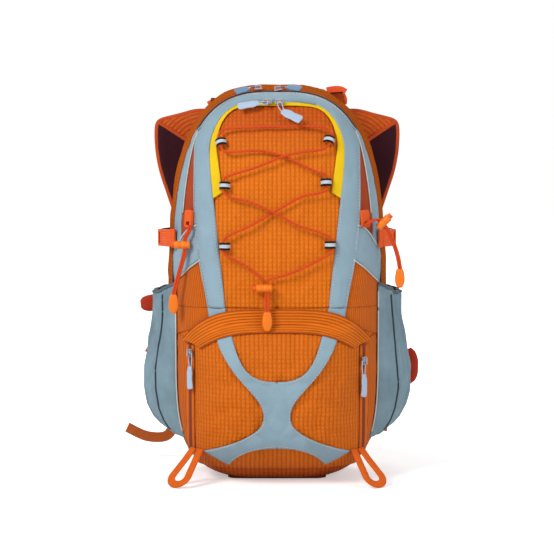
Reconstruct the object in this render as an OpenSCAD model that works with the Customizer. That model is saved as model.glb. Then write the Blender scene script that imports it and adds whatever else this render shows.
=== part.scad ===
// Hiking day pack: a clamshell body of coated cloth with a zipped front cover, a lower front
// pocket, two stretch side pockets, a laced cord, webbing loops and a padded harness.
// Origin: centre of the flat base patch. +Z up, +Y towards the wearer, front facing -Y.

/* [Body] */
// Height of the front cover's top above the base
cover_top = 500; // [480:1:520]
// Half width of the front section at the main zip
front_half_width = 134; // [128:1:140]
// How far the front section stands forward of the main zip
front_depth = 95; // [85:1:100]
// Height of the fold that the front cover opens about
fold_z = 226; // [220:1:232]
// Thickness of the padded cloth walls
wall = 2.4; // [2:0.2:3]

/* [Pockets] */
// How far the lower front pocket bulges
pocket_bulge = 26; // [18:1:28]
// How far the side pockets bulge
side_bulge = 31; // [24:1:33]

/* [Cords] */
// Diameter of the lacing cord
cord_d = 3; // [2.4:0.2:3.2]

/* [Harness] */
// Width of a shoulder strap
strap_w = 56; // [50:1:60]
// Thickness of a shoulder strap
strap_t = 12; // [8:1:14]

/* [Hidden] */

// Colours of the cloths and fittings
orange = "#d87522";
rust = "#b3501f";
grey = "#8fb0c4";
yellow = "#e2bf10";
coil_black = "#1c1c1e";
webbing_black = "#2a2a2c";
tag_blue = "#c3d3eb";
maroon = "#3f1d27";
lock_red = "#c6491d";

arch_rise = cover_top - fold_z;
floor_z = 2;
lower_drop = fold_z + 4;
seam_gap = 0.5;
rim_y = 6;
back_y = 86;
depth_power = 1 / 2.6;
upper_power = 3;
lower_power = 5.5;
// Half width and rise of the rear section at each depth behind the main zip
rear_width = [[rim_y, 134], [20, 141], [42, 144], [65, 141], [80, 131], [back_y, 112]];
rear_rise = [[rim_y, 274], [20, 281], [42, 285], [65, 281], [80, 268], [back_y, 252]];
rear_drop = [[rim_y, 230], [20, 230], [42, 228], [65, 224], [80, 214], [back_y, 202]];
quarter_steps = 9;

// ---- Geometry shared by the panels ----

// One closed solid through a list of closed rings. A strip's end is closed across its two rows.
module loft(rings, strip = false) {
    n = len(rings[0]);
    m = len(rings);
    points = [for (ring = rings) each ring];
    sides = [
        for (i = [0:m - 2])
            for (j = [0:n - 1])
                let (a = i * n + j, b = i * n + (j + 1) % n)
                    each [[a, b, b + n], [a, b + n, a + n]]
    ];
    last = (m - 1) * n;
    fan = [for (j = [1:n - 2]) [0, j + 1, j]];
    ladder = [for (k = [0:n / 2 - 2]) each [[k, n - 1 - k, k + 1], [k + 1, n - 1 - k, n - 2 - k]]];
    cap = strip ? ladder : fan;
    end_cap = [for (f = cap) [last + f[0], last + f[2], last + f[1]]];
    faces = concat(sides, cap, end_cap);
    turned = [for (f = faces) [f[0], f[2], f[1]]];
    polyhedron(points, volume_sign(points, faces) > 0 ? turned : faces, convexity = 6);
}

function volume_sign(points, faces, i = 0, total = 0) =
    i == len(faces)
        ? total
        : volume_sign(points, faces, i + 1, total
            + points[faces[i][0]] * cross(points[faces[i][1]], points[faces[i][2]]));

// A sheet's rings: its outer row and then its inner row turned round
function sheet_rings(outer, inner) = [
    for (i = [0:len(outer) - 1])
        concat(outer[i], [for (j = [len(inner[i]) - 1:-1:0]) inner[i][j]])
];

function signed_power(v, p) = sign(v) * pow(abs(v), p);
function blend(a, b, t) = a + (b - a) * t;
function steps(n) = [for (i = [0:n]) i / n];
function bezier(a, b, c, d, t) =
    pow(1 - t, 3) * a + 3 * t * pow(1 - t, 2) * b + 3 * t * t * (1 - t) * c + pow(t, 3) * d;

// How far out a place on the front section is: 0 at the middle of the fold, 1 at the main zip.
// grow moves the whole surface outwards, so that layers lie on each other.
function front_reach(x, z, grow) =
    pow(abs(x) / (front_half_width + grow), upper_power)
    + (z > fold_z
        ? pow((z - fold_z) / (arch_rise + grow), upper_power)
        : pow((fold_z - z) / (lower_drop + grow), lower_power));
function front_y(x, z, grow) =
    -(front_depth + grow) * pow(max(0, 1 - front_reach(x, z, grow)), depth_power);
function front_pt(x, z, grow) = [x, front_y(x, z, grow), z];
function front_edge_x(z, grow) =
    (front_half_width + grow)
    * pow(max(0, 1 - front_reach(0, z, grow)), 1 / upper_power);
function arch_top_z(x, grow) =
    fold_z + (arch_rise + grow)
    * pow(1 - pow(abs(x) / (front_half_width + grow), upper_power), 1 / upper_power);

function unit(v) = v / norm(v);
function front_normal(x, z) =
    let (h = 1)
    unit([
        (front_y(x + h, z, 0) - front_y(x - h, z, 0)) / (2 * h),
        -1,
        (front_y(x, z + h, 0) - front_y(x, z - h, 0)) / (2 * h)
    ]);
// Places a flat fitting on the front section: its Z along the cloth's normal, its Y upwards
module on_front(x, z, grow, spin = 0) {
    n = front_normal(x, z);
    translate(front_pt(x, z, grow))
        rotate([90 - asin(n[2]), 0, atan2(n[0], -n[1])])
            rotate([0, 0, spin])
                children();
}

// A patch sewn on the front section, between two edges of equal counts of [x, z] points
module front_patch(edge_a, edge_b, across, low, high) {
    rows = [
        for (i = [0:len(edge_a) - 1])
            [for (t = steps(across)) blend(edge_a[i], edge_b[i], t)]
    ];
    outer = [for (row = rows) [for (p = row) front_pt(p[0], p[1], high)]];
    inner = [for (row = rows) [for (p = row) front_pt(p[0], p[1], low)]];
    loft(sheet_rings(outer, inner), strip = true);
}

// A closed ring of the body's outline at one depth, cut level at the floor
function body_ring(half_w, rise, drop, y, floor_level) = [
    for (k = [0:4 * quarter_steps - 1])
        let (
            quarter = floor(k / quarter_steps),
            u = (k % quarter_steps) / quarter_steps,
            even = quarter % 2 == 0,
            w = even ? pow(u, 1.5) : 1 - pow(1 - u, 1.5),
            angle = 90 * (quarter + w),
            c = cos(angle),
            s = sin(angle),
            x = half_w * signed_power(c, 2 / upper_power),
            z = fold_z + (s > 0
                ? rise * pow(s, 2 / upper_power)
                : -drop * pow(-s, 2 / lower_power))
        )
        [x, y, max(z, floor_level)]
];

// Half width of the whole body at a depth and height
function body_side_x(y, z) =
    y < 0
        ? front_half_width * pow(max(0.02, 1 - pow(-y / front_depth, 2.6) - front_reach(0, z, 0)),
            1 / upper_power)
        : let (d = max(y, rim_y), up = z > fold_z)
            lookup(d, rear_width) * pow(1 - pow(
                abs(z - fold_z) / lookup(d, up ? rear_rise : rear_drop),
                up ? upper_power : lower_power), 1 / upper_power);

// A round cord along a route of points
module cord_tube(route, d, sides = 8) {
    last = len(route) - 1;
    rings = [
        for (i = [0:last])
            let (
                t = unit(route[min(i + 1, last)] - route[max(i - 1, 0)]),
                side = unit(cross(t, abs(t[2]) > 0.9 ? [1, 0, 0] : [0, 0, 1])),
                up = cross(side, t)
            )
            [for (k = [0:sides - 1])
                route[i] + d / 2 * (cos(360 * k / sides) * side + sin(360 * k / sides) * up)]
    ];
    loft(rings);
}

// A padded or woven strip along a route of [centre, half width, half thickness]. It keeps its
// thin side towards face_dir and its edges are drawn in by edge_power.
module padded_strip(stations, face_dir, edge_power, sides = 12) {
    last = len(stations) - 1;
    rings = [
        for (i = [0:last])
            let (
                t = unit(stations[min(i + 1, last)][0] - stations[max(i - 1, 0)][0]),
                wide = unit(cross(face_dir, t)),
                thick = cross(t, wide)
            )
            [for (k = [0:sides - 1])
                stations[i][0]
                + stations[i][1] * signed_power(cos(360 * k / sides), edge_power) * wide
                + stations[i][2] * signed_power(sin(360 * k / sides), edge_power) * thick]
    ];
    loft(rings);
}

module mirror_pair() {
    children();
    mirror([1, 0, 0]) children();
}

module rounded_plate(w, h, t, r) {
    linear_extrude(t)
        union() {
            square([w - 2 * r, h], center = true);
            square([w, h - 2 * r], center = true);
            for (sx = [-1, 1], sy = [-1, 1])
                translate([sx * (w / 2 - r), sy * (h / 2 - r)]) circle(r, $fn = 24);
        }
}

// ---- Body: cloth panels ----

module rear_shell() {
    outer = [for (s = rear_width)
        body_ring(s[1], lookup(s[0], rear_rise), lookup(s[0], rear_drop), s[0], floor_z)];
    inner = [for (s = rear_width)
        body_ring(s[1] - wall, lookup(s[0], rear_rise) - wall, lookup(s[0], rear_drop) - wall,
            s[0] == back_y ? back_y - wall : s[0], floor_z + wall)];
    m = len(outer);
    color(orange)
        loft(concat([for (i = [m - 1:-1:0]) inner[i]], outer));
}

// Rows of the front section's skin between two heights, with extra points back to the rear shell
function skin_row(z, grow, columns) =
    let (edge = front_edge_x(z, grow))
    [for (j = [0:columns]) front_pt(edge * sin(180 * j / columns - 90), z, grow)];

lower_columns = 16;
foot_step = 3;
// Each row runs on past the skin's edges to the rear shell
function lower_row(z, grow, reach) =
    let (row = skin_row(z, grow, lower_columns), edge = row[lower_columns][0])
    concat([[-edge, reach, z]], row, [[edge, reach, z]]);
// The bottom's rear edge, which meets the rear shell
function tuck_row(row, reach) = [
    for (j = [0:len(row) - 1])
        [row[j][0] * (j == 0 || j == len(row) - 1 ? 0.99 : 0.97), reach, row[j][2]]
];

module lower_front_panel() {
    levels = [fold_z - 0.4, 190, 150, 110, 75, 48, 30, 17, 8];
    reach = rim_y - seam_gap;
    foot_out = lower_row(floor_z, 0, reach - foot_step);
    foot_in = lower_row(floor_z + wall, -wall, reach - foot_step);
    color(orange)
        loft(sheet_rings(
            concat([for (z = levels) lower_row(z, 0, reach)], [foot_out, tuck_row(foot_out, reach)]),
            concat([for (z = levels) lower_row(z, -wall, reach)], [foot_in, tuck_row(foot_in, reach)])
        ), strip = true);
}

module cover_shell() {
    columns = 18;
    levels = [fold_z + 0.4, for (a = [10:10:80]) fold_z + arch_rise * sin(a)];
    crown = [for (j = [0:columns])
        let (x = 44 * sin(180 * j / columns - 90)) [x, 0, arch_top_z(x, 0)]];
    crown_in = [for (j = [0:columns])
        let (x = 42 * sin(180 * j / columns - 90)) [x, 0, arch_top_z(x, -wall)]];
    color(orange)
        loft(sheet_rings(
            concat([for (z = levels) skin_row(z, 0, columns)], [crown]),
            concat([for (z = levels) skin_row(z, -wall, columns)], [crown_in])
        ), strip = true);
}

module base_patch() {
    color(webbing_black)
        translate([0, 10, 0]) rounded_plate(128, 96, floor_z, 14);
}

// Two long pads and a lumbar pad on the back panel
module back_pads() {
    color(webbing_black) {
        mirror_pair()
            translate([46, back_y + 0.5, 0])
                back_pad([[180, 20, 3], [190, 27, 8], [260, 29, 10], [360, 29, 10],
                    [425, 26, 8], [438, 18, 3]]);
        translate([0, back_y + 0.5, 0])
            back_pad([[62, 60, 3], [72, 76, 9], [110, 82, 12], [150, 76, 9], [160, 60, 3]]);
    }
}

// A pad that lies flat on the back panel and is crowned towards the wearer:
// stations are [height, half width, crown]
module back_pad(stations) {
    loft([
        for (s = stations)
            [for (a = [0:15:180]) [s[1] * signed_power(cos(a), 0.6), s[2] * pow(sin(a), 0.6), s[0]]]
    ]);
}

// The toothed chain that closes the front cover, from one end of the fold over the top
module main_zip_chain() {
    half = [for (k = [0:12])
        let (a = 90 * pow(k / 12, 1.4)) [signed_power(cos(a), 2 / 3), pow(sin(a), 2 / 3)]];
    arc = concat(half, [for (k = [11:-1:0]) [-half[k][0], half[k][1]]]);
    chain_in = -1.4;
    chain_out = 1.2;
    color(coil_black)
        loft([
            for (p = arc)
                [for (q = [[chain_in, seam_gap], [chain_out, seam_gap],
                    [chain_out, rim_y - seam_gap], [chain_in, rim_y - seam_gap]])
                    [p[0] * (front_half_width + q[0]), q[1], fold_z + 1 + p[1] * (arch_rise - 1 + q[0])]]
        ]);
}

// ---- Lower front pocket ----

pocket_half_w = 104;
pocket_low = 20;
pocket_high = 206;
pocket_lift = 1.8;
pocket_cloth = 2;
function pocket_shape(x, z) =
    let (mid = (pocket_low + pocket_high) / 2, half = (pocket_high - pocket_low) / 2)
    max(0, 1 - pow(abs(x) / pocket_half_w, 4)) * max(0, 1 - pow(abs(z - mid) / half, 4));
function pocket_pt(x, z, lift) =
    [x, front_y(x, z, pocket_lift) - pocket_bulge * pocket_shape(x, z) - lift, z];

module lower_pocket() {
    rows = [for (a = [-90:15:90]) (pocket_low + pocket_high) / 2 + (pocket_high - pocket_low) / 2 * sin(a)];
    cols = [for (a = [-90:11.25:90]) pocket_half_w * sin(a)];
    color(orange)
        loft(sheet_rings(
            [for (z = rows) [for (x = cols) pocket_pt(x, z, pocket_cloth)]],
            [for (z = rows) [for (x = cols) pocket_pt(x, z, 0)]]
        ), strip = true);
}

// Flap of ribbed cloth over the pocket's zip: its edges bow upwards in the middle
flap_ribs = 6;
function flap_top_z(x) = 224 - 45 * pow(abs(x) / 124, 4);
function flap_low_z(x) = 197 - 22 * pow(abs(x) / 97, 3.4);

module lower_flap() {
    columns = 16;
    rows = 2 * flap_ribs;
    rib = 0.9;
    lift = pocket_cloth + 1.6;
    cloth = 1.6;
    function at(i, j, d) =
        let (
            c = sin(180 * j / columns - 90),
            t = i / rows,
            x = c * blend(97, 121, t),
            z = blend(flap_low_z(x), flap_top_z(x), t)
        )
        pocket_pt(x, z, lift + d);
    color(rust)
        loft(sheet_rings(
            [for (i = [0:rows]) [for (j = [0:columns]) at(i, j, cloth + (i % 2 == 1 ? rib : 0))]],
            [for (i = [0:rows]) [for (j = [0:columns]) at(i, j, 0)]]
        ), strip = true);
}

// Cross of grey cloth on the pocket: two mirrored strips that meet in the middle
module cross_applique() {
    lift = pocket_cloth + 2.4;
    cloth = 1.4;
    join = 0.2;
    inner_edge = concat(
        [for (t = steps(5)) bezier([58, 190], [48, 142], [36, 134], [join, 133], t)],
        [[join, 92]],
        [for (t = steps(5)) bezier([join, 51], [32, 51], [50, 42], [61, 25], t)]
    );
    outer_edge = concat(
        [for (t = steps(5)) bezier([77, 186], [56, 134], [18, 122], [17, 94], t)],
        [[17, 92]],
        [for (t = steps(5)) bezier([17, 90], [18, 70], [56, 56], [94, 43], t)]
    );
    across = 3;
    rows = [for (i = [0:len(inner_edge) - 1])
        [for (t = steps(across)) blend(inner_edge[i], outer_edge[i], t)]];
    color(grey)
        mirror_pair()
            loft(sheet_rings(
                [for (row = rows) [for (p = row) pocket_pt(p[0], p[1], lift + cloth)]],
                [for (row = rows) [for (p = row) pocket_pt(p[0], p[1], lift)]]
            ), strip = true);
}

// The two upright runs of the pocket's zip
lower_zip_x = 110;
module lower_zip_chains() {
    color(coil_black)
        mirror_pair()
            front_patch(
                [for (z = [48:20:168]) [lower_zip_x - 2.5, z]],
                [for (z = [48:20:168]) [lower_zip_x + 2.5, z]],
                1, 1, 3
            );
}

// ---- Side pockets ----

side_pocket_levels = [
    [54, 3], [62, 13], [74, 22], [90, 28], [115, side_bulge], [142, 29.5], [175, 23], [210, 17], [242, 13]
];
function side_pocket_pt(y, level, shape, lift) =
    [body_side_x(y, level[0]) + lift + (level[1] * side_bulge / 31) * shape, y, level[0]];

module side_pocket() {
    y_front = -46;
    y_rear = 60;
    columns = 12;
    function row(level, lift) = [
        for (t = steps(columns))
            side_pocket_pt(blend(y_front, y_rear, t), level, pow(sin(180 * t), 0.6), lift)
    ];
    color(grey)
        loft(sheet_rings(
            [for (level = side_pocket_levels) row(level, 3.4)],
            [for (level = side_pocket_levels) row(level, 1.4)]
        ), strip = true);
}

module side_pocket_left() { mirror([1, 0, 0]) side_pocket(); }
module side_pocket_right() { side_pocket(); }

// ---- Front cover: bands, guard and zip of the upper pocket ----

arch_steps = 12;
function arch_points(half_w, rise, from_angle) = [
    for (k = [0:arch_steps])
        let (a = blend(from_angle, 90, pow(k / arch_steps, 0.8)))
        [half_w * signed_power(cos(a), 2 / 3), fold_z + rise * pow(sin(a), 2 / 3)]
];
function mirrored(points) = concat(points, [for (k = [len(points) - 2:-1:0]) [-points[k][0], points[k][1]]]);

module arch_band() {
    leg_low = fold_z + 0.6;
    outer = mirrored(concat(
        [[86, leg_low], [91, 249], [99, 290], [104, 337], [105, 390]],
        arch_points(front_half_width - 1.5, arch_rise - 1.5, 45)
    ));
    inner = mirrored(concat(
        [[65, leg_low], [67, 249], [73, 300], [80, 360], [85, 400]],
        arch_points(111, 257, 46)
    ));
    color(grey) front_patch(outer, inner, 6, 2.2, 3.4);
}

// Strips along the zip and the wings that widen to the bands' feet
module side_gussets() {
    strip_rows = [
        [[107, 430], [108.5, 430]], [[111.5, 405], [119, 405]], [[117, 375], [125.5, 375]],
        [[120.5, 345], [129.8, 345]], [[122, 316], [131.8, 307]]
    ];
    wing_upper = [[103.5, 330], [110, 327], [118, 319], [125, 308], [132, 300]];
    wing_lower = [[98.5, 285], [105, 280.5], [112, 275], [121, 266], [131, 256]];
    color(grey)
        mirror_pair() {
            front_patch([for (r = strip_rows) r[0]], [for (r = strip_rows) r[1]], 2, 1.6, 2.8);
            front_patch(wing_upper, wing_lower, 4, 1.6, 2.8);
        }
}

guard_z = 376;
function guard_points(half_w, rise) = [
    for (k = [0:arch_steps])
        let (a = 90 * pow(k / arch_steps, 1.3))
        [half_w * signed_power(cos(a), 2 / 3.5), guard_z + rise * pow(sin(a), 2 / 3.5)]
];

module yellow_zip_guard() {
    outer = mirrored(concat([[82, guard_z - 12.5]], guard_points(87.3, 107.6)));
    inner = mirrored(concat([[69, guard_z - 4]], guard_points(76, 101.5)));
    color(yellow) front_patch(outer, inner, 2, 3.9, 4.9);
}

// Coil zip of the upper pocket, between the grey band and the guard
module pocket_zip_chain() {
    color(coil_black)
        front_patch(
            [for (x = [-48:8:48]) [x, arch_top_z(x, 0) - 15.8]],
            [for (x = [-48:8:48]) [x, arch_top_z(x, 0) - 13.2]],
            1, 3.5, 4.7
        );
}

// ---- Lacing ----

// Places and turns of the six sewn loops: [x, z, spin]
loop_tl = [-71, 434, 110];
loop_tr = [66, 437, 70];
loop_ml = [-66, 380, 90];
loop_mr = [62, 384, 90];
loop_ll = [-66, 304, 90];
loop_lr = [67, 306, 90];
loop_size = [12.5, 11, 6];
loop_base = 5;
loop_slot = [4.8, 4.2];
module lacing_loops() {
    color(webbing_black)
        for (p = [loop_tl, loop_tr, loop_ml, loop_mr, loop_ll, loop_lr])
            on_front(p[0], p[1], loop_base, p[2])
                difference() {
                    rounded_plate(loop_size[0], loop_size[1], loop_size[2], 1.5);
                    translate([0, 0, loop_size[2] / 2])
                        cube([loop_size[0] + 2, loop_slot[0], loop_slot[1]], center = true);
                }
}

// The cord's route on the cover. It runs straight through each loop, and both its ends go into
// the lock.
loop_h = loop_base + loop_size[2] / 2;
loop_run = 8;
function through(p, up) =
    let (
        n = front_normal(p[0], p[1]),
        level = unit([-n[1], n[0], 0]),
        along = cos(p[2]) * level + sin(p[2]) * cross(n, level),
        middle = front_pt(p[0], p[1], loop_base) + loop_size[2] / 2 * n
    )
    [for (d = [-loop_run, loop_run]) middle + up * d * along];
function spots(list) = [for (p = list) front_pt(p[0], p[1], p[2])];
lacing_route = concat(
    spots([[-18, 262, 7], [-34, 277, 7], [-58, 290, loop_h]]), through(loop_ll, 1),
    spots([[-56, 320, loop_h], [-34, 330, 7], [-4, 347, 5], [30, 366, 7], [53, 371, loop_h]]),
    through(loop_mr, 1),
    spots([[51, 397, loop_h], [34, 405, 7], [8, 417, 5], [-24, 424, 7], [-60, 422, loop_h]]),
    through(loop_tl, 1),
    spots([[-66, 451, loop_h], [-40, 453, 6.4], [0, 454, 5.6], [34, 455, 6.4], [60, 453, loop_h]]),
    through(loop_tr, -1),
    spots([[54, 425, loop_h], [30, 422, 8], [8, 417, 9.4], [-24, 404, 8], [-56, 394, loop_h]]),
    through(loop_ml, -1),
    spots([[-56, 365, loop_h], [-34, 360, 8], [-4, 347, 9.4], [26, 331, 8], [56, 321, loop_h]]),
    through(loop_lr, -1),
    spots([[58, 290, loop_h], [20, 272, 7], [-13, 262, 7]])
);
module lacing_cord() {
    color(lock_red)
        cord_tube(lacing_route, cord_d);
}

// Barrel lock: its axis is local Z, the cord runs through it along local X, and a sprung button
// stands out of its upper end
barrel_d = 10;
barrel_l = 20;
bore_l = 9;
button_d = 7;
button_l = 9;
button_travel = 3;
fit_gap = 0.05;
module barrel(holes) {
    color(lock_red)
        difference() {
            cylinder(d = barrel_d, h = barrel_l, $fn = 32);
            translate([0, 0, barrel_l - bore_l])
                cylinder(d = button_d + 2 * fit_gap, h = bore_l + 1, $fn = 32);
            for (z = holes)
                translate([0, 0, z]) rotate([0, 90, 0])
                    cylinder(d = cord_d + 0.8, h = barrel_d + 2, center = true, $fn = 16);
        }
}
module barrel_button() {
    color(lock_red)
        translate([0, 0, barrel_l - bore_l + button_travel + 0.5])
            cylinder(d = button_d, h = button_l, $fn = 32);
}

lock_x = -17;
lock_z = 252;
lock_y = -103.5;
module on_front_lock() {
    translate([lock_x + 11, lock_y, lock_z]) rotate([0, -90, 0]) children();
}
module front_lock_barrel() { on_front_lock() barrel([3.4, 7.6]); }
module front_lock_button() { on_front_lock() barrel_button(); }

// Two tails of the cord, side by side, and the moulded pull at their end
pull_hinge_z = lock_z - barrel_d / 2 - 1;
module front_pull_cord() {
    color(lock_red)
        for (s = [0, 3.6])
            cord_tube([
                [lock_x + 3 + s, lock_y, pull_hinge_z], [lock_x + 3 + s, lock_y - 2, pull_hinge_z - 8],
                [lock_x + 3 + s, lock_y - 6, pull_hinge_z - 16], [lock_x + 3 + s, lock_y - 9, pull_hinge_z - 23]
            ], cord_d);
}

module front_pull() {
    color(orange)
        translate([lock_x + 4.8, lock_y - 9.3, pull_hinge_z - 35.3])
            rotate([90, 0, 0])
                translate([0, 0, -2.5]) rounded_plate(13, 24, 5, 3);
}

// ---- Zip sliders and pulls ----

// Local frame: X along the zip, Z away from the cloth. The bridge is open for the pull's bar.
bridge_z = 3.4;
bridge_half = 3.5;
module slider_body() {
    color("#b9bcc0") {
        linear_extrude(1.8) polygon([[-5, -4], [3, -4], [5.5, -2], [5.5, 2], [3, 4], [-5, 4]]);
        for (s = [-1, 1])
            translate([s * bridge_half - 0.65, -1, 0.5]) cube([1.3, 2, bridge_z + 1.6]);
        translate([-bridge_half - 0.65, -1, bridge_z + 1.2]) cube([2 * bridge_half + 1.3, 2, 1.3]);
    }
}

// A pull whose bar lies under the bridge: two arms of cord, half_gap from its middle, and a tag
// along +X. The tag is rolled about its length by droop.
module bar_pull(arm_l, tag_l, half_gap = 2.7, droop = 0) {
    bar_z = 3.2;
    tag_w = 8.5;
    color(tag_blue) {
        translate([0, 0, bar_z])
            rotate([90, 0, 0]) cylinder(d = 1.3, h = 2 * half_gap + 1.2, center = true, $fn = 16);
        for (s = [-1, 1])
            translate([arm_l / 2, s * half_gap, bar_z]) cube([arm_l, 1.2, 1.3], center = true);
        translate([arm_l - 0.6 + tag_l / 2, 0, bar_z])
            rotate([droop, 0, 0])
                translate([0, 0, -1.1]) rounded_plate(tag_l, tag_w, 2.2, 1.5);
    }
}

// Height of each slider's plate above the cloth
main_ride = 3;
arc_centre_x = 19;
arc_centre_z = 402;
arc_r = 98.4;
main_start_left = 3;
main_start_right = -10;
main_y = 3;
main_droop = 45;
module on_main_arc(start) {
    translate([arc_centre_x, main_y, arc_centre_z])
        rotate([0, start, 0])
            translate([0, 0, arc_r + main_ride]) children();
}
module main_slider_right() { on_main_arc(main_start_right) slider_body(); }
module main_slider_left() { mirror([1, 0, 0]) on_main_arc(main_start_left) slider_body(); }
module main_pull_right() { on_main_arc(main_start_right) bar_pull(10, 15, droop = main_droop); }
module main_pull_left() { mirror([1, 0, 0]) on_main_arc(main_start_left) bar_pull(10, 15, droop = main_droop); }

upper_ride = 5.4;
upper_z = 484.5;
upper_left_x = -12;
upper_right_x = 3;
upper_hang = -62;
module on_upper(x, turn) { on_front(x, upper_z, upper_ride, turn) children(); }
module pocket_slider_right() { on_upper(upper_right_x, 0) slider_body(); }
module pocket_slider_left() { on_upper(upper_left_x, 180) slider_body(); }
module pocket_pull_right() { on_upper(upper_right_x, upper_hang) bar_pull(12, 18, 1.2); }
module pocket_pull_left() { on_upper(upper_left_x, 180) bar_pull(8, 21); }

lower_ride = 5;
module on_lower(z) { on_front(lower_zip_x, z, lower_ride, -90) children(); }
lower_start_right = 158;
lower_start_left = 168;
module lower_slider_right() { on_lower(lower_start_right) slider_body(); }
module lower_slider_left() { mirror([1, 0, 0]) on_lower(lower_start_left) slider_body(); }
module lower_pull_right() { on_lower(lower_start_right) bar_pull(17, 29); }
module lower_pull_left() { mirror([1, 0, 0]) on_lower(lower_start_left) bar_pull(17, 29); }

// ---- Compression buckles ----

buckle_turn = 36;
buckle_z = 312;
module on_buckle() {
    translate([137, -33.8, buckle_z]) rotate([0, 0, -buckle_turn]) rotate([0, 90, 0]) children();
}
module buckle_female() {
    difference() {
        translate([0, 0, 0]) rounded_plate(22, 22, 8, 3);
        translate([0, 4.1, 4]) cube([17, 14, 4.6], center = true);
    }
    translate([0, -13, 2]) difference() {
        rounded_plate(22, 8, 4, 2);
        translate([0, 0, 2]) cube([15, 3, 6], center = true);
    }
}
module buckle_male() {
    for (s = [-1, 1]) translate([s * 6, 5, 4]) cube([3, 11, 3.6], center = true);
    translate([0, 5, 4]) cube([3, 11, 3.6], center = true);
    translate([0, 16, 2]) difference() {
        rounded_plate(22, 10, 4, 2);
        translate([0, 1, 2]) cube([15, 3, 6], center = true);
    }
}
module buckle_females() { color(webbing_black) mirror_pair() on_buckle() buckle_female(); }
module buckle_male_right() { color(webbing_black) on_buckle() buckle_male(); }
module buckle_male_left() { color(webbing_black) mirror([1, 0, 0]) on_buckle() buckle_male(); }

// Webbing from each buckle round to the back panel's edge
module compression_webs() {
    color(webbing_black)
        mirror_pair()
            padded_strip([for (p = [[147, -9], [151.5, 4], [153, 16], [152.5, 28], [152, 44], [148, 62], [141, 76], [132, 86]])
                [[p[0], p[1], buckle_z], 9, 0.9]], [1, 0, 0], 0.25, 8);
}

// ---- Pole and axe cords ----

module pole_tabs() {
    color(lock_red)
        for (s = [-1, 1])
            on_front(s * 110, 338, 3.4, 0)
                difference() {
                    rounded_plate(13, 22, 4, 3);
                    translate([0, -6, 2]) cube([6, 4.6, 6], center = true);
                }
}

// Routes of the hanging cords from each tab through the lock to the pull
left_cord = [[-110, -81, 330], [-112, -80, 322], [-117, -77.5, 312], [-117, -77.5, 298],
    [-121, -75, 282], [-126, -73, 264], [-131, -71, 246]];
right_cord = [[111, -82, 330], [118, -77, 335], [127, -69, 337], [133, -69, 331],
    [139, -69, 325], [147, -66, 308], [153, -63, 290], [156, -61, 274]];
cord_pull = [10, 24, 5];
module pole_cord_left() { color(lock_red) cord_tube(left_cord, cord_d); }
module pole_cord_right() { color(lock_red) cord_tube(right_cord, cord_d); }

module on_pole_lock_left() { translate([-117 + 7, -77.5, 305]) rotate([0, -90, 0]) children(); }
module on_pole_lock_right() {
    translate([133, -69, 331]) rotate([0, 45, 0]) translate([0, 0, -7]) children();
}
module cord_end_pull(at) {
    color(lock_red)
        translate([at[0], at[1] + cord_pull[2] / 2, at[2] - cord_pull[1] / 2 - 0.5])
            rotate([90, 0, 0]) rounded_plate(cord_pull[0], cord_pull[1], cord_pull[2], 3);
}
module pole_lock_left() {
    on_pole_lock_left() barrel([7]);
    cord_end_pull(left_cord[len(left_cord) - 1]);
}
module pole_lock_right() {
    on_pole_lock_right() barrel([7]);
    cord_end_pull(right_cord[len(right_cord) - 1]);
}
module pole_button_left() { on_pole_lock_left() barrel_button(); }
module pole_button_right() { on_pole_lock_right() barrel_button(); }

// ---- Gear loops and haul loop ----

gear_root = [102, -74, 44];
gear_length = 59;
gear_pitch = 44;
gear_yaw = -51;
gear_t = 2;
gear_tip_r = 14.5;
gear_gap_r = 7;
// Outline of a loop or of its gap: straight sides that part from the start to a round tip
module gear_outline(start, root_half, tip_r) {
    centre = gear_length - gear_tip_r;
    polygon([[start, -root_half], [centre, -tip_r], [centre, tip_r], [start, root_half]]);
    translate([centre, 0]) circle(tip_r, $fn = 40);
}
module gear_loop() {
    color(webbing_black)
        translate(gear_root)
            rotate([0, 0, gear_yaw])
                rotate([0, gear_pitch, 0])
                    linear_extrude(gear_t)
                        difference() {
                            gear_outline(0, 9, gear_tip_r);
                            gear_outline(13, 1.2, gear_gap_r);
                        }
}
module gear_loop_right() { gear_loop(); }
module gear_loop_left() { mirror([1, 0, 0]) gear_loop(); }

haul_z = 478;
haul_y = 93;
module haul_loop() {
    color(webbing_black)
        translate([0, haul_y, haul_z - 22])
            rotate([90, 0, 0])
                difference() {
                    rounded_plate(52, 44, 3, 10);
                    translate([0, 0, -1]) rounded_plate(36, 28, 5, 6);
                }
}

// ---- Harness ----

strap_route = [[56, 93, 450], [84, 104, 456], [114, 115, 453], [136, 121, 438], [141, 122, 412],
    [132, 121, 384], [121, 119, 346], [113, 116, 306], [109, 112, 270], [108, 110, 250]];
strap_ends = [0.55, 0.85, 1, 1, 1, 1, 1, 1, 0.9, 0.6];
module shoulder_strap() {
    color(maroon)
        padded_strip([for (i = [0:len(strap_route) - 1])
            [strap_route[i], strap_w / 2 * strap_ends[i], strap_t / 2 * min(1, strap_ends[i] + 0.1)]],
            [0, 1, 0], 0.55, 14);
}
module shoulder_strap_right() { shoulder_strap(); }
module shoulder_strap_left() { mirror([1, 0, 0]) shoulder_strap(); }

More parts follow.
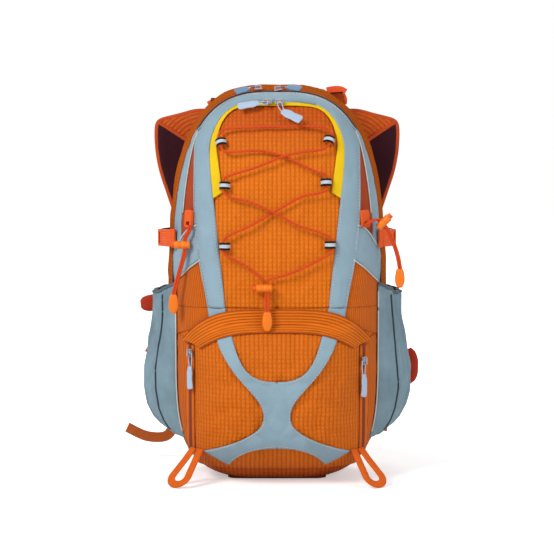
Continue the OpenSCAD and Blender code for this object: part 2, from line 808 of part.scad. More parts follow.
// Ladder lock at the strap's end and its webbing down to the body
module strap_webbing() {
    color(webbing_black) {
        translate([108, 113, 240])
            rotate([90, 0, 0])
                difference() {
                    rounded_plate(30, 16, 4, 3);
                    for (s = [-1, 1])
                        translate([0, s * 3.4, 2]) cube([22, 2.6, 6], center = true);
                }
        padded_strip([for (p = [[108, 107.2, 234, 10], [107, 103, 222, 10], [106, 98, 208, 7],
            [106, 94, 200, 5], [106, 91, 195, 3]])
                [[p[0], p[1], p[2]], p[3], 0.8]], [0, 1, 0], 0.25, 8);
    }
}
module strap_webbing_right() { strap_webbing(); }
module strap_webbing_left() { mirror([1, 0, 0]) strap_webbing(); }

// Webbing from the body's top edge towards the strap
module load_lifters() {
    color(webbing_black)
        mirror_pair()
            padded_strip([for (p = [[78, 46, 501], [80, 64, 498], [82, 80, 491], [84, 94, 486]])
                [p, 10, 0.9]], [0, 0.5, 1], 0.25, 8);
}

wing_stations = [[[92, 99, 140], 34, 5], [[104, 101, 140], 37, 7], [[130, 103, 139], 35, 7],
    [[156, 103, 137], 29, 6], [[172, 101, 136], 20, 5], [[178, 100, 136], 13, 3]];
module hip_wing() {
    color(maroon) padded_strip(wing_stations, [0, 1, 0], 0.5, 14);
}
module hip_wing_right() { hip_wing(); }
module hip_wing_left() { mirror([1, 0, 0]) hip_wing(); }

tail_left = [[-168, 109.4, 128], [-156, 109.6, 104], [-147, 111, 76], [-143, 110, 50],
    [-152, 108, 33], [-178, 104, 33], [-205, 100, 46]];
tail_right = [[170, 109.4, 128], [162, 110, 96], [150, 111, 66], [144, 110, 40]];
module hip_webbing_left() {
    color(webbing_black) padded_strip([for (p = tail_left) [p, 9, 0.9]], [0, 1, 0], 0.25, 8);
}
module hip_webbing_right() {
    color(webbing_black) padded_strip([for (p = tail_right) [p, 9, 0.9]], [0, 1, 0], 0.25, 8);
}

rear_shell();
lower_front_panel();
base_patch();
back_pads();
main_zip_chain();
lower_pocket();
lower_flap();
cross_applique();
lower_zip_chains();
side_pocket_left();
side_pocket_right();
load_lifters();
compression_webs();
cover_shell();
arch_band();
side_gussets();
yellow_zip_guard();
pocket_zip_chain();
lacing_loops();
lacing_cord();
front_lock_barrel();
buckle_females();
pole_tabs();
front_lock_button();
front_pull_cord();
front_pull();
main_slider_left();
main_slider_right();
main_pull_left();
main_pull_right();
pocket_slider_left();
pocket_slider_right();
pocket_pull_left();
pocket_pull_right();
lower_slider_left();
lower_slider_right();
lower_pull_left();
lower_pull_right();
buckle_male_left();
buckle_male_right();
pole_cord_left();
pole_cord_right();
pole_lock_left();
pole_lock_right();
pole_button_left();
pole_button_right();
gear_loop_left();
gear_loop_right();
haul_loop();
shoulder_strap_left();
shoulder_strap_right();
strap_webbing_left();
strap_webbing_right();
hip_wing_left();
hip_wing_right();
hip_webbing_left();
hip_webbing_right();
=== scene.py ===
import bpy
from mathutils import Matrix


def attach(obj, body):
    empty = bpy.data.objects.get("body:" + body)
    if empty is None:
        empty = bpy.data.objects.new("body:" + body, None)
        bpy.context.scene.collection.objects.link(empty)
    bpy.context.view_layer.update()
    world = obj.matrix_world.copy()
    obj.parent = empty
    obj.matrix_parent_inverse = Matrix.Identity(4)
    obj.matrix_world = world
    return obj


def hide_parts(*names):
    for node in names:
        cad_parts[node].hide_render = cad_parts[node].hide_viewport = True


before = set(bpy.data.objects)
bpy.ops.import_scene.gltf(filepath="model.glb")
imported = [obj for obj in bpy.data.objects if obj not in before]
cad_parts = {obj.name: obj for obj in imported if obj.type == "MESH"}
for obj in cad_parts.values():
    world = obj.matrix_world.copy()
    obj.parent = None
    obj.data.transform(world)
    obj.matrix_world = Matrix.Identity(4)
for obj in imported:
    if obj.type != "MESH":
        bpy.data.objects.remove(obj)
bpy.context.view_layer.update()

import math
import bmesh
import bpy
from mathutils import Matrix, Vector, noise

# ---- Camera ----
# A long lens a little above the middle of the pack and square to its front, so that upright
# edges stay upright.

lens_data = bpy.data.cameras.new("camera")
lens_data.lens = 120
lens_data.sensor_width = 36
camera = bpy.data.objects.new("camera", lens_data)
bpy.context.scene.collection.objects.link(camera)
bpy.context.scene.camera = camera
aim = Vector((0, -0.100, 0.266))
rise, away = math.radians(4), 2.314
camera.location = aim + away * Vector((0, -math.cos(rise), math.sin(rise)))
camera.rotation_euler = (aim - camera.location).to_track_quat("-Z", "Y").to_euler()

# ---- Cords ----
# Round elastic cord with a braided sleeve, 3 mm thick. One long run laces the front cover and
# both its ends pass through the barrel lock; short ones hang from the lock and from two tabs.

mm = 0.001
sides = ((1, "right"), (-1, "left"))
half_width, arch_rise, fold, drop, depth = 134.0, 274.0, 226.0, 230.0, 95.0
# how square the outline is above the fold and below it, and how full the front's crown is
arch_power, foot_power, crown_power = 3, 5.5, 2.6


def front_reach(x, z, grow=0.0):
    """0 at the middle of the fold, 1 at the main zip."""
    across = (abs(x) / (half_width + grow)) ** arch_power
    if z > fold:
        return across + ((z - fold) / (arch_rise + grow)) ** arch_power
    return across + ((fold - z) / (drop + grow)) ** foot_power


def on_cloth(x, z, grow=0.0):
    """A point of the front section, grow millimetres outside its cloth."""
    share = max(0.0, 1 - front_reach(x, z, grow))
    return Vector((x, -(depth + grow) * share ** (1 / crown_power), z))


def cloth_normal(x, z):
    across = on_cloth(x + 1, z) - on_cloth(x - 1, z)
    up = on_cloth(x, z + 1) - on_cloth(x, z - 1)
    return across.cross(up).normalized()


def smooth_point(a, b, c, d, t):
    """A place at share t of a smooth curve's part from b to c."""
    return 0.5 * (2 * b + (c - a) * t + (2 * a - 5 * b + 4 * c - d) * t * t
                  + (3 * b - a - 3 * c + d) * t ** 3)


def smooth_route(points, parts):
    """Points along a smooth curve through the given ones."""
    ring = [points[0] * 2 - points[1]] + list(points) + [points[-1] * 2 - points[-2]]
    found = [smooth_point(*ring[i - 1:i + 3], k / parts)
             for i in range(1, len(ring) - 2) for k in range(parts)]
    return found + [Vector(points[-1])]


def fitted(piece, body, node=None):
    """Puts a piece under the body that it rides on, and hides the node that it stands for."""
    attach(piece, body)
    if node:
        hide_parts(node)
    return piece


def math_method(operation, flipped=False):
    """A method of Wire that adds one Math node."""

    def method(wire, *others):
        node = wire.tree.nodes.new("ShaderNodeMath")
        node.operation = operation
        for slot, value in zip(node.inputs, (*others, wire) if flipped else (wire, *others)):
            if isinstance(value, Wire):
                wire.tree.links.new(value.socket, slot)
            else:
                slot.default_value = value
        return Wire(wire.tree, node.outputs[0])

    return method


class Wire:
    """A node's output in a material: arithmetic on it adds Math nodes."""

    __add__, __radd__ = math_method("ADD"), math_method("ADD", True)
    __sub__, __rsub__ = math_method("SUBTRACT"), math_method("SUBTRACT", True)
    __mul__, __rmul__ = math_method("MULTIPLY"), math_method("MULTIPLY", True)
    __truediv__, power = math_method("DIVIDE"), math_method("POWER")
    sin, abs, fract = math_method("SINE"), math_method("ABSOLUTE"), math_method("FRACT")
    larger, smaller = math_method("MAXIMUM"), math_method("MINIMUM")
    above = math_method("GREATER_THAN")

    def __init__(self, tree, socket):
        self.tree = tree
        self.socket = socket


class Finish:
    """One material of the pack, with its Principled shader."""

    def __init__(self, name, roughness=0.7, metallic=0.0, sheen=0.0, specular=0.15):
        self.material = bpy.data.materials.new(name)
        self.material.use_nodes = True
        self.tree = self.material.node_tree
        self.shader = self.tree.nodes["Principled BSDF"]
        for socket, value in (("Roughness", roughness), ("Metallic", metallic), ("Sheen Weight", sheen),
                              ("Sheen Roughness", 0.5), ("Coat Weight", 0.0),
                              ("Specular IOR Level", specular)):
            self.shader.inputs[socket].default_value = value

    def node(self, kind, settings=None, values=None, out=0):
        node = self.tree.nodes.new(kind)
        for key, value in (settings or {}).items():
            setattr(node, key, value)
        for key, value in (values or {}).items():
            if isinstance(value, Wire):
                self.tree.links.new(value.socket, node.inputs[key])
            else:
                node.inputs[key].default_value = value
        return Wire(self.tree, node.outputs[out])

    def solid(self):
        """The place in the frame."""
        return self.node("ShaderNodeTexCoord", out=3)

    def where(self, uv=False):
        """The X, Y and Z of the place, in millimetres: on the cloth itself, or in the frame."""
        place = self.node("ShaderNodeUVMap", {"uv_map": "cloth"}) if uv else self.solid()
        split = self.node("ShaderNodeSeparateXYZ", values={0: place})
        return [Wire(self.tree, s) * 1000.0 for s in split.socket.node.outputs]

    def mix(self, share, a, b):
        return self.node("ShaderNodeMix", {"data_type": "RGBA"}, {0: share, 6: a, 7: b}, out=2)

    def speckle(self, scale, detail=2.0, rough=0.5):
        return self.node("ShaderNodeTexNoise", values={
            "Vector": self.solid(), "Scale": scale, "Detail": detail, "Roughness": rough})

    def feed(self, socket, wire):
        self.tree.links.new(wire.socket, self.shader.inputs[socket])

    def bump(self, height, strength, distance):
        self.feed("Normal", self.node("ShaderNodeBump", values={
            "Height": height, "Strength": strength, "Distance": distance}))


def colour(red, green, blue):
    """A colour of 0 to 255 steps as the shader's linear values."""
    linear = [c / 255 / 12.92 if c < 10 else ((c / 255 + 0.055) / 1.055) ** 2.4
              for c in (red, green, blue)]
    return (*linear, 1.0)


cord_d = 3.0
cord_red = Finish("cord_red", roughness=0.6, sheen=0.04, specular=0.25)
x, y, z = cord_red.where()
braid = ((x + y) * 2.6 + z * 2.2).sin() * ((x - y) * 2.6 - z * 2.2).sin()
dust = cord_red.speckle(700.0, 3.0)
shade = (braid * 0.5 + 0.5) * 0.5 + dust * 0.35
cord_red.feed("Base Color", cord_red.mix(shade, colour(188, 46, 4), colour(238, 88, 20)))
cord_red.bump(braid, 0.5, 0.0005)


def free_cord(name, route, body, node=None):
    """A cord as a curve with one smooth spline."""
    points = [p * mm for p in smooth_route([Vector(p) for p in route], 6)]
    line = bpy.data.curves.new(name, "CURVE")
    line.dimensions = "3D"
    line.bevel_depth = cord_d * mm / 2
    line.bevel_resolution = 3
    line.use_fill_caps = True
    spline = line.splines.new("POLY")
    spline.points.add(len(points) - 1)
    for spot, point in zip(spline.points, points):
        spot.co = (*point, 1)
    spline.use_smooth = True
    line.materials.append(cord_red.material)
    piece = bpy.data.objects.new(name, line)
    bpy.context.scene.collection.objects.link(piece)
    fitted(piece, body, node)


# Places and turns of the six sewn loops
loop_places = {
    "top_left": (-71, 434, 110), "top_right": (66, 437, 70), "middle_left": (-66, 380, 90),
    "middle_right": (62, 384, 90), "low_left": (-66, 304, 90), "low_right": (67, 306, 90),
}
loop_span, loop_height, loop_base = 11.0, 6.0, 5.0


def loop_axes(name):
    """A loop's base, the cord's direction through it, and the two directions square to that."""
    x, z, turn = loop_places[name]
    normal = cloth_normal(x, z)
    level = Vector((-normal.y, normal.x, 0)).normalized()
    upward = normal.cross(level)
    turn = math.radians(turn)
    along = math.cos(turn) * level + math.sin(turn) * upward
    return on_cloth(x, z, loop_base), along, normal.cross(along), normal


def through(name, up):
    base, along, side, normal = loop_axes(name)
    return [base + loop_height / 2 * normal + up * d * along for d in (-8, 8)]


def spots(*places):
    return [on_cloth(x, z, h) for x, z, h in places]


h = loop_base + loop_height / 2
lacing_route = (
    spots((-18, 262, 7), (-34, 277, 7), (-58, 290, h)) + through("low_left", 1)
    + spots((-56, 320, h), (-34, 330, 7), (-4, 347, 5), (30, 366, 7), (53, 371, h))
    + through("middle_right", 1)
    + spots((51, 397, h), (34, 405, 7), (8, 417, 5), (-24, 424, 7), (-60, 422, h))
    + through("top_left", 1)
    + spots((-66, 451, h), (-40, 453, 6.4), (0, 454, 5.6), (34, 455, 6.4), (60, 453, h))
    + through("top_right", -1)
    + spots((54, 425, h), (30, 422, 8), (8, 417, 9.4), (-24, 404, 8), (-56, 394, h))
    + through("middle_left", -1)
    + spots((-56, 365, h), (-34, 360, 8), (-4, 347, 9.4), (26, 331, 8), (56, 321, h))
    + through("low_right", -1)
    + spots((58, 290, h), (20, 272, 7), (-13, 262, 7))
)
free_cord("lacing_cord_run", lacing_route, "front_cover", "lacing_cord")
for number, x in enumerate((-14.0, -10.4)):
    y, z = -103.5, 246.0
    tail = [(x, y, z), (x, y - 2, z - 8), (x, y - 6, z - 16), (x, y - 9, z - 23),
            (x + 0.2, y - 9.3, z - 33)]
    free_cord("front_pull_tail_%d" % number, tail, "front_pull",
              None if number else "front_pull_cord")

# ---- Rear shell ----
# The deep rear half: one run of coated ripstop over the sides and top, with the back panel
# closing it. It is sewn round the back edge and carries one half of the main zip.


def tinted(main, factor, lift=0.0):
    """A colour made darker or lighter."""
    return (*(min(1.0, c * factor + lift) for c in main[:3]), 1.0)


def ripstop_finish(name, main, line, shade_above=None, shade_below=None, gloss=0.12):
    """Coated nylon with a raised grid of thicker threads, stronger up than across, with painted shade by
    height and painted highlights on its puffed cells.
    """
    finish = Finish(name, roughness=0.62, specular=gloss)
    x, y, z = finish.where(True)
    across, upward = (((axis / 5.7).fract() - 0.5).abs() * 2 for axis in (x, y))
    ribs = (across.power(3.0) * 0.95).larger(upward.power(5.0) * 0.3)
    puff = (1 - across.power(2.0)) * (1 - upward.power(2.0) * 0.7)
    threads = (x * 5.5).sin() * (y * 5.5).sin()
    cloud = finish.speckle(14.0, 3.0)
    crease = finish.speckle(30.0, 4.0, 0.55)
    wear_and_highlight = finish.speckle(160.0, 3.0, 0.6)
    tint = finish.mix(cloud * 0.8 + wear_and_highlight * 0.2, tinted(main, 0.78), tinted(main, 1.14))
    # painted shade: from the given heights the colour turns darker and redder, upwards under the arch and
    # downwards towards the bottom
    for level, reach, shade_colour in ((shade_above, 48.0, colour(180, 72, 18)),
                               (shade_below, -70.0, colour(178, 76, 18))):
        if level is not None:
            height = finish.where()[2]
            tint = finish.mix(((height - level) / reach).larger(0.0).smaller(1.0), tint, shade_colour)
    # painted highlight: the middle of each puffed cell is lightened, in random patches
    tint = finish.mix(puff * wear_and_highlight * 0.55, tint, tinted(main, 1.3, 0.012))
    finish.feed("Base Color", finish.mix(ribs * 0.75, tint, line))
    finish.feed("Roughness", 0.52 + cloud * 0.16 + ribs * 0.12)
    finish.bump(puff * 0.9 + threads * 0.05 + crease * 2.6 + wear_and_highlight * 0.3, 0.6, 0.0016)
    return finish.material


def plain_cloth_finish(name, main, thread=3.2, soft=0.14):
    """Close plain weave, with soft patches of painted light and shade."""
    finish = Finish(name, roughness=0.62, sheen=0.03, specular=0.18)
    x, y, z = finish.where(True)
    weave = (x * thread).sin() * (y * thread).sin()
    cloud = finish.speckle(22.0, 4.0, 0.6)
    crease = finish.speckle(45.0, 3.0, 0.55)
    # painted light and shade: the weave is lightened and darkened in soft patches that stand in for folds
    finish.feed("Base Color", finish.mix(cloud, tinted(main, 1 - 1.5 * soft), tinted(main, 1 + soft)))
    finish.feed("Roughness", 0.55 + cloud * 0.18)
    finish.bump(weave * 0.12 + crease * 2.2 + cloud, 0.45, 0.0014)
    return finish.material


def cloth_panel(name, across, up, place, material, thick=1.6, measure=None, facing=(0, -1, 0)):
    """A sheet of cloth formed from a flat grid. place(u, v) is each point in millimetres."""
    mesh = bmesh.new()
    bmesh.ops.create_grid(mesh, x_segments=across, y_segments=up, size=0.5)
    columns = sorted({round(v.co.x, 5) for v in mesh.verts})
    rows = sorted({round(v.co.y, 5) for v in mesh.verts})
    column_of = {c: i for i, c in enumerate(columns)}
    row_of = {r: j for j, r in enumerate(rows)}
    spot = {}
    for v in mesh.verts:
        i, j = column_of[round(v.co.x, 5)], row_of[round(v.co.y, 5)]
        v.co = Vector(place(i / (len(columns) - 1), j / (len(rows) - 1)))
        spot[i, j] = v
    flat, last = {}, (len(columns) - 1, len(rows) - 1)
    if measure is None:
        middle, run = len(columns) // 2, 0.0
        for j in range(len(rows)):
            run += (spot[middle, j].co - spot[middle, j - 1].co).length if j else 0.0
            flat[middle, j] = (0.0, run)
            for step, end in ((1, len(columns)), (-1, -1)):
                side = 0.0
                for i in range(middle + step, end, step):
                    side += step * (spot[i, j].co - spot[i - step, j].co).length
                    flat[i, j] = (side, run)
    else:
        flat = {(i, j): measure(v.co, i / last[0], j / last[1]) for (i, j), v in spot.items()}
    own = {v: flat[key] for key, v in spot.items()}
    sheet_map = mesh.loops.layers.uv.new("cloth")
    for face in mesh.faces:
        for corner in face.loops:
            s, t = own[corner.vert]
            corner[sheet_map].uv = (s * mm, t * mm)
    mesh.normal_update()
    if sum(f.calc_area() * f.normal.dot(Vector(facing)) for f in mesh.faces) < 0:
        bmesh.ops.reverse_faces(mesh, faces=mesh.faces)
    bmesh.ops.remove_doubles(mesh, verts=mesh.verts, dist=0.01)
    return cloth_object(name, mesh, material, thick)


def cloth_object(name, mesh, material, thick=0.0):
    """Writes a mesh in millimetres as a finished object in metres, with a wall if it needs one."""
    bmesh.ops.scale(mesh, vec=(mm, mm, mm), verts=mesh.verts)
    for face in mesh.faces:
        face.smooth = True
    data = bpy.data.meshes.new(name)
    mesh.to_mesh(data)
    mesh.free()
    data.materials.append(material)
    piece = bpy.data.objects.new(name, data)
    bpy.context.scene.collection.objects.link(piece)
    if thick:
        wall = piece.modifiers.new("wall", "SOLIDIFY")
        wall.thickness = thick * mm
        wall.offset = -1
    return piece


def fitted_panel(name, across, up, place, material, thick, body, slot, node=None, **more):
    """A sheet with its body and node; slot is not used."""
    return fitted(cloth_panel(name, across, up, place, material, thick, **more), body, node)


def sewn_panel(name, across, up, place, material, thick, body, slot, on=(), node=None, **more):
    """A sheet of cloth with its body and node; slot and on are not used."""
    fitted_panel(name, across, up, place, material, thick, body, slot, node, **more)


def ruck(x, y, z, size, height, seed=0.0):
    """Soft creases in a panel: ridges with flat cloth between them."""
    spot = Vector((x / size[0] + seed, y / size[1], z / size[2] - seed))
    broad = noise.noise(spot)
    fine = noise.noise(spot * 2.3 + Vector((7.1, 3.3, 1.7)))
    return height * ((1 - abs(broad)) ** 4 - 0.45 + 0.5 * fine)


def between(stations, y):
    """A station's value at a depth, by a smooth line through the listed ones."""
    y = min(max(y, stations[0][0]), stations[-1][0])
    for (y0, a), (y1, b) in zip(stations, stations[1:]):
        if y <= y1:
            return a + (b - a) * (y - y0) / (y1 - y0)


rim_y, back_y, lowest = 6.0, 86.0, 2.2
rear_width = [(6, 134), (12, 138), (20, 141), (32, 143.4), (42, 144), (54, 143.2), (65, 141), (74, 136.5),
              (80, 131), (84, 122), (86, 112)]
rear_rise = [(6, 274), (12, 278.5), (20, 281), (32, 284), (42, 285), (54, 284), (65, 281), (74, 275.5),
             (80, 268), (84, 260), (86, 252)]
rear_drop = [(6, 224), (65, 224), (80, 214), (84, 208), (86, 202)]


def signed_power(value, power):
    return math.copysign(abs(value) ** power, value)


def outline_point(turn, half, up, down, y, inward=1.0):
    """A point on the pack's outline: turn runs 0 to 1 from its right side over the top."""
    quarter = min(3, int(turn * 4))
    u = turn * 4 - quarter
    w = u ** 1.5 if quarter % 2 == 0 else 1 - (1 - u) ** 1.5
    angle = math.radians(90 * (quarter + w))
    c, s = math.cos(angle), math.sin(angle)
    x = half * inward * signed_power(c, 2 / arch_power)
    if s > 0:
        z = fold + up * inward * s ** (2 / arch_power)
    else:
        z = fold - down * inward * (-s) ** (2 / foot_power)
    return Vector((x, y, max(z, lowest)))


rear_across = 160
back_from = 0.6  # the share of the sheet's run where its sides end and its back begins


def rear_place(u, v):
    if v < back_from:
        y = rim_y + (back_y - rim_y) * (v / back_from)
        p = outline_point(u, between(rear_width, y), between(rear_rise, y), between(rear_drop, y), y)
        out = Vector((p.x, 0, p.z - fold)).normalized()
        edge = math.sin(math.pi * v / back_from)
        return p + out * ruck(p.x, p.y, p.z, (60, 26, 60), 2.2 * edge, 2.0)
    inward = 1 - (v - back_from) / 0.4
    p = outline_point(u, 112, 252, 202, back_y, max(inward, 0.0005))
    p.y -= 3.5 * (1 - inward ** 3)
    return p


# the run of the cloth round the shell where it is widest, at half steps of the sheet
rear_run = [0.0]
for k in range(2 * rear_across):
    a, b = (outline_point((k + j) / (2 * rear_across), 144, 285, 228, 42) for j in (0, 1))
    rear_run.append(rear_run[-1] + (b - a).length)


def rear_measure(p, u, v):
    if v < back_from:
        return (p.y, rear_run[round(u * 2 * rear_across)])
    return (p.x, p.z)


top_orange = ripstop_finish("ripstop_top", colour(184, 90, 26), colour(140, 60, 16), gloss=0.0)
sewn_panel("rear_body", rear_across, 45, rear_place, top_orange, 2.0, "root", "ripstop_orange",
           node="rear_shell", measure=rear_measure, facing=(0, 1, 0))


def tube_along(name, route, diameter, material, body, around=8, closed=False, flat=1.0,
               lift=(0, 0, 1)):
    """Piping or a rolled hem: a round or oval section carried along a route."""
    mesh = bmesh.new()
    rings = []
    count = len(route)
    for i, p in enumerate(route):
        ahead = route[(i + 1) % count] if closed else route[min(i + 1, count - 1)]
        behind = route[i - 1] if closed or i else route[0]
        t = (ahead - behind).normalized()
        side = t.cross(Vector(lift)).normalized()
        over = side.cross(t)
        ring = bmesh.ops.create_circle(mesh, segments=around, radius=diameter / 2)["verts"]
        for v in ring:
            v.co = p + side * v.co.x + over * v.co.y * flat
        rings.append(ring)
    pairs = list(zip(rings, rings[1:])) + ([(rings[-1], rings[0])] if closed else [])
    for a, b in pairs:
        for k in range(around):
            mesh.faces.new((a[k], a[(k + 1) % around], b[(k + 1) % around], b[k]))
    if not closed:
        mesh.faces.new(rings[0][::-1])
        mesh.faces.new(rings[-1])
    bmesh.ops.recalc_face_normals(mesh, faces=mesh.faces)
    return fitted(cloth_object(name, mesh, material), body)


binding_orange = plain_cloth_finish("binding_orange", colour(168, 78, 22), 4.5)
back_edge = [outline_point(k / 144, 121.5, 259.5, 208, 84.2) for k in range(144)]
tube_along("back_piping", back_edge, 4.2, binding_orange, "root", closed=True,
           lift=(0, 1, 0))

# ---- Main zip ----
# A coil zip round the whole clamshell: two woven tapes with the coil between them. One tape is
# sewn to the rear shell's rim and the other to the front cover's edge.


def coil_finish(name, tape, tooth):
    """Coil zip: teeth across the run, and a woven tape on each side."""
    finish = Finish(name, roughness=0.5, specular=0.5)
    x, y, z = finish.where(True)
    beat = (y * 3.6).sin()
    middle = 1 - (x / 2.2).abs().power(4.0).smaller(1.0)
    teeth = (beat * 0.5 + 0.5) * middle
    finish.feed("Base Color", finish.mix(teeth, tape, tooth))
    finish.feed("Roughness", 0.72 - teeth * 0.35)
    finish.bump(teeth + middle * 0.8, 0.8, 0.0009)
    return finish.material


zip_black = coil_finish("zip_black", colour(30, 24, 24), colour(62, 58, 58))
zip_width = 4.8


def zip_place(u, v):
    turn = 0.01 + 0.98 * v
    p = outline_point(turn / 2, half_width, arch_rise - 1, 1, 3.0)
    out = Vector((p.x * 1.3, 0, p.z - fold + 30)).normalized()
    crown = 3.2 - 2.4 * (2 * u - 1) ** 2
    q = p + out * crown
    q.y = 0.6 + zip_width * u
    return q


fitted_panel("main_zip", 8, 180, zip_place, zip_black, 1.0, "root", "zip_coil", "main_zip_chain",
             facing=(0, 0, 1))

# ---- Front cover ----
# The ripstop panel that folds down when the main zip is open. Its edge is sewn to the zip, and
# its lower edge to the lower front panel along the fold.


crest = fold + arch_rise


def run_over(start, end, at):
    """Length over the cloth between two places of one coordinate."""
    steps, total, last = 14, 0.0, at(start)
    for k in range(1, steps + 1):
        here = at(start + (end - start) * k / steps)
        total += (here - last).length
        last = here
    return math.copysign(total, end - start)


def front_measure(p, u, v):
    x = min(max(p.x, 1 - half_width), half_width - 1)
    z = min(max(p.z, 4.0), crest - 2)
    return (run_over(0.0, x, lambda a: on_cloth(a, z)), run_over(fold, z, lambda b: on_cloth(0, b)))


def cover_place(u, v):
    """u runs over the arch from its left foot, v out from the middle of the fold to the zip."""
    r = 1 - (1 - v) ** 1.5
    edge = outline_point((1 - u) / 2, half_width, arch_rise, 1, 0)
    x, z = edge.x * r, fold + (edge.z - fold) * r
    p = on_cloth(x, z)
    soft = ruck(x, 0, z, (32, 40, 60), 1.9 * (1 - r ** 6) * min(1.0, (z - fold) / 24), 5.0) - 0.4
    return p + cloth_normal(x, min(z, crest - 3)) * soft * (1 if r < 0.97 else 0)


# painted shade: the cover darkens and reddens towards the top of its arch
cover_orange = ripstop_finish("ripstop_front", colour(214, 110, 12), colour(178, 76, 6), shade_above=418.0)
sewn_panel("front_cover_panel", 120, 56, cover_place, cover_orange, 1.8, "front_cover", "ripstop_orange",
           ["main_zip"], "cover_shell", measure=front_measure)

# ---- Lower front panel ----
# The same coated cloth below the fold, in one piece. It runs under the pack as its floor and is
# sewn to the cover along the fold and to the rear shell behind.


def lower_place(u, v):
    r = 1 - (1 - v) ** 1.6
    angle = math.radians(180 + 180 * u)
    c, s = math.cos(angle), math.sin(angle)
    x = half_width * r * signed_power(c, 2 / arch_power)
    z = fold - drop * r * max(0.0, -s) ** (2 / foot_power)
    p = on_cloth(x, z)
    if r > 0.999:
        p.y = 5.2
    p.z = max(p.z, lowest)
    side = ruck(x, 0, z, (30, 40, 46), 1.8 * (1 - r ** 8) * min(1.0, (fold - z) / 24), 9.0) - 0.4
    if p.z > 6 and r < 0.98:
        p = p + cloth_normal(x, max(z, 6)) * side
    return p


# painted shade: the lower panel darkens towards the bottom
low_orange = ripstop_finish("ripstop_low", colour(214, 108, 14), colour(168, 68, 8), shade_below=200.0)
sewn_panel("lower_front", 128, 52, lower_place, low_orange, 1.8, "root", "ripstop_orange", ["rear_body"],
           "lower_front_panel", measure=front_measure)

# ---- Front cover's grey bands and side strips ----
# A wide arch of smooth grey cloth sewn round the cover, padded between its two seams, and grey
# strips beside the zip that widen into wings at the compression straps.


def step_at(points, share):
    """Where a share of a list's run falls: the point before it, and how far on to the next."""
    at = share * (len(points) - 1)
    i = min(len(points) - 2, int(at))
    return i, at - i


def stitch_row(mesh, route):
    """Adds a row of short thread stitches along a route to a mesh in millimetres."""
    length, gap, width = 2.6, 1.6, 0.7
    run, place = 0.0, 0.0
    for a, b in zip(route, route[1:]):
        part = (b - a).length
        while place < run + part and part > 0:
            p = a + (b - a) * ((place - run) / part)
            t = (b - a).normalized()
            side = t.cross(Vector((0, -1, 0))).normalized()
            matrix = Matrix((side * width, side.cross(t) * width * 0.7, t * length)).transposed()
            bmesh.ops.create_cone(mesh, cap_ends=True, segments=6, radius1=0.5, radius2=0.5,
                                  depth=1.0, matrix=Matrix.Translation(p) @ matrix.to_4x4())
            place += length + gap
        run += part


def rows_between(edge_a, edge_b, lift):
    """A place function for a patch between two edges of [x, z] points; lift(u, v) is its rise."""

    def along(edge, v):
        i, t = step_at(edge, v)
        a, b = Vector(edge[i]), Vector(edge[i + 1])
        before = Vector(edge[i - 1]) if i else 2 * a - b
        after = Vector(edge[i + 2]) if i + 2 < len(edge) else 2 * b - a
        return smooth_point(before, a, b, after, t)

    def place(u, v):
        p = along(edge_a, v).lerp(along(edge_b, v), u)
        return on_cloth(p.x, p.y) + cloth_normal(p.x, min(p.y, crest - 2)) * lift(u, v, p)

    return place


def mirrored_edge(points):
    return points + [(-x, z) for x, z in points[-2::-1]]


def arch_edge(half, up, start):
    """The upper right part of an arch, from an angle to its top."""
    found = []
    for k in range(12):
        a = math.radians(start + (90 - start) * (k / 12) ** 0.8)
        found.append((half * math.cos(a) ** (2 / arch_power), fold + up * math.sin(a) ** (2 / arch_power)))
    return found + [(0.0, fold + up)]


band_outer = mirrored_edge([(87, 226.6), (91, 249), (99, 290), (104, 337), (105, 390)]
                           + arch_edge(half_width - 2.5, arch_rise - 2.5, 45))
band_inner = mirrored_edge([(65, 226.1), (67, 249), (73, 300), (79, 360), (81.6, 384), (83.6, 409),
                            (83.6, 427), (81.4, 440), (77, 452), (70.6, 463.5), (61, 473.5), (48, 480.5),
                            (28, 482.8), (0, 483)])


guard_foot = 352


def band_lift(u, v, p):
    """The band is crowned between its seams, and its inner edge lies over the yellow guard."""
    crown = 1 - abs(2 * u - 1) ** 3
    over_guard = 2.2 * u ** 4 * min(1.0, max(0.0, (p.y - guard_foot) / 12))
    return 1.1 + 2.4 * crown + over_guard + crown * ruck(p.x, 0, p.y, (26, 40, 50), 1.1, 3.0)


grey_cloth = plain_cloth_finish("grey_cloth", colour(140, 166, 180))
sewn_panel("arch_band_cloth", 14, 200, rows_between(band_outer, band_inner, band_lift), grey_cloth, 1.2,
           "front_cover", "grey_cloth", ["front_cover_panel"], "arch_band")

strip_edges = ([(101, 449), (104.5, 440), (108, 428), (112.5, 405), (117, 375), (120, 345), (121, 322),
                (119, 304)],
               [(102, 450), (107, 442), (112, 428), (120, 405), (126.3, 375), (130.2, 345), (131.8, 322),
                (132.6, 300)])
wing_edges = ([(93, 332), (102, 330), (110, 327), (118, 319), (125, 308), (132, 300)],
              [(88, 292), (97, 286.5), (105, 280.5), (112, 275), (121, 266), (131, 256)])
gore_edges = ([(104, 436), (103.5, 405), (103, 375), (101, 345), (98, 326)],
              [(108, 434), (113, 405), (119, 375), (122, 345), (123, 314)])
foot_edges = ([(95, 292), (92, 270), (88, 245), (85, 226.1)],
              [(131.6, 262), (132.6, 250), (133, 239), (133, 226.1)])


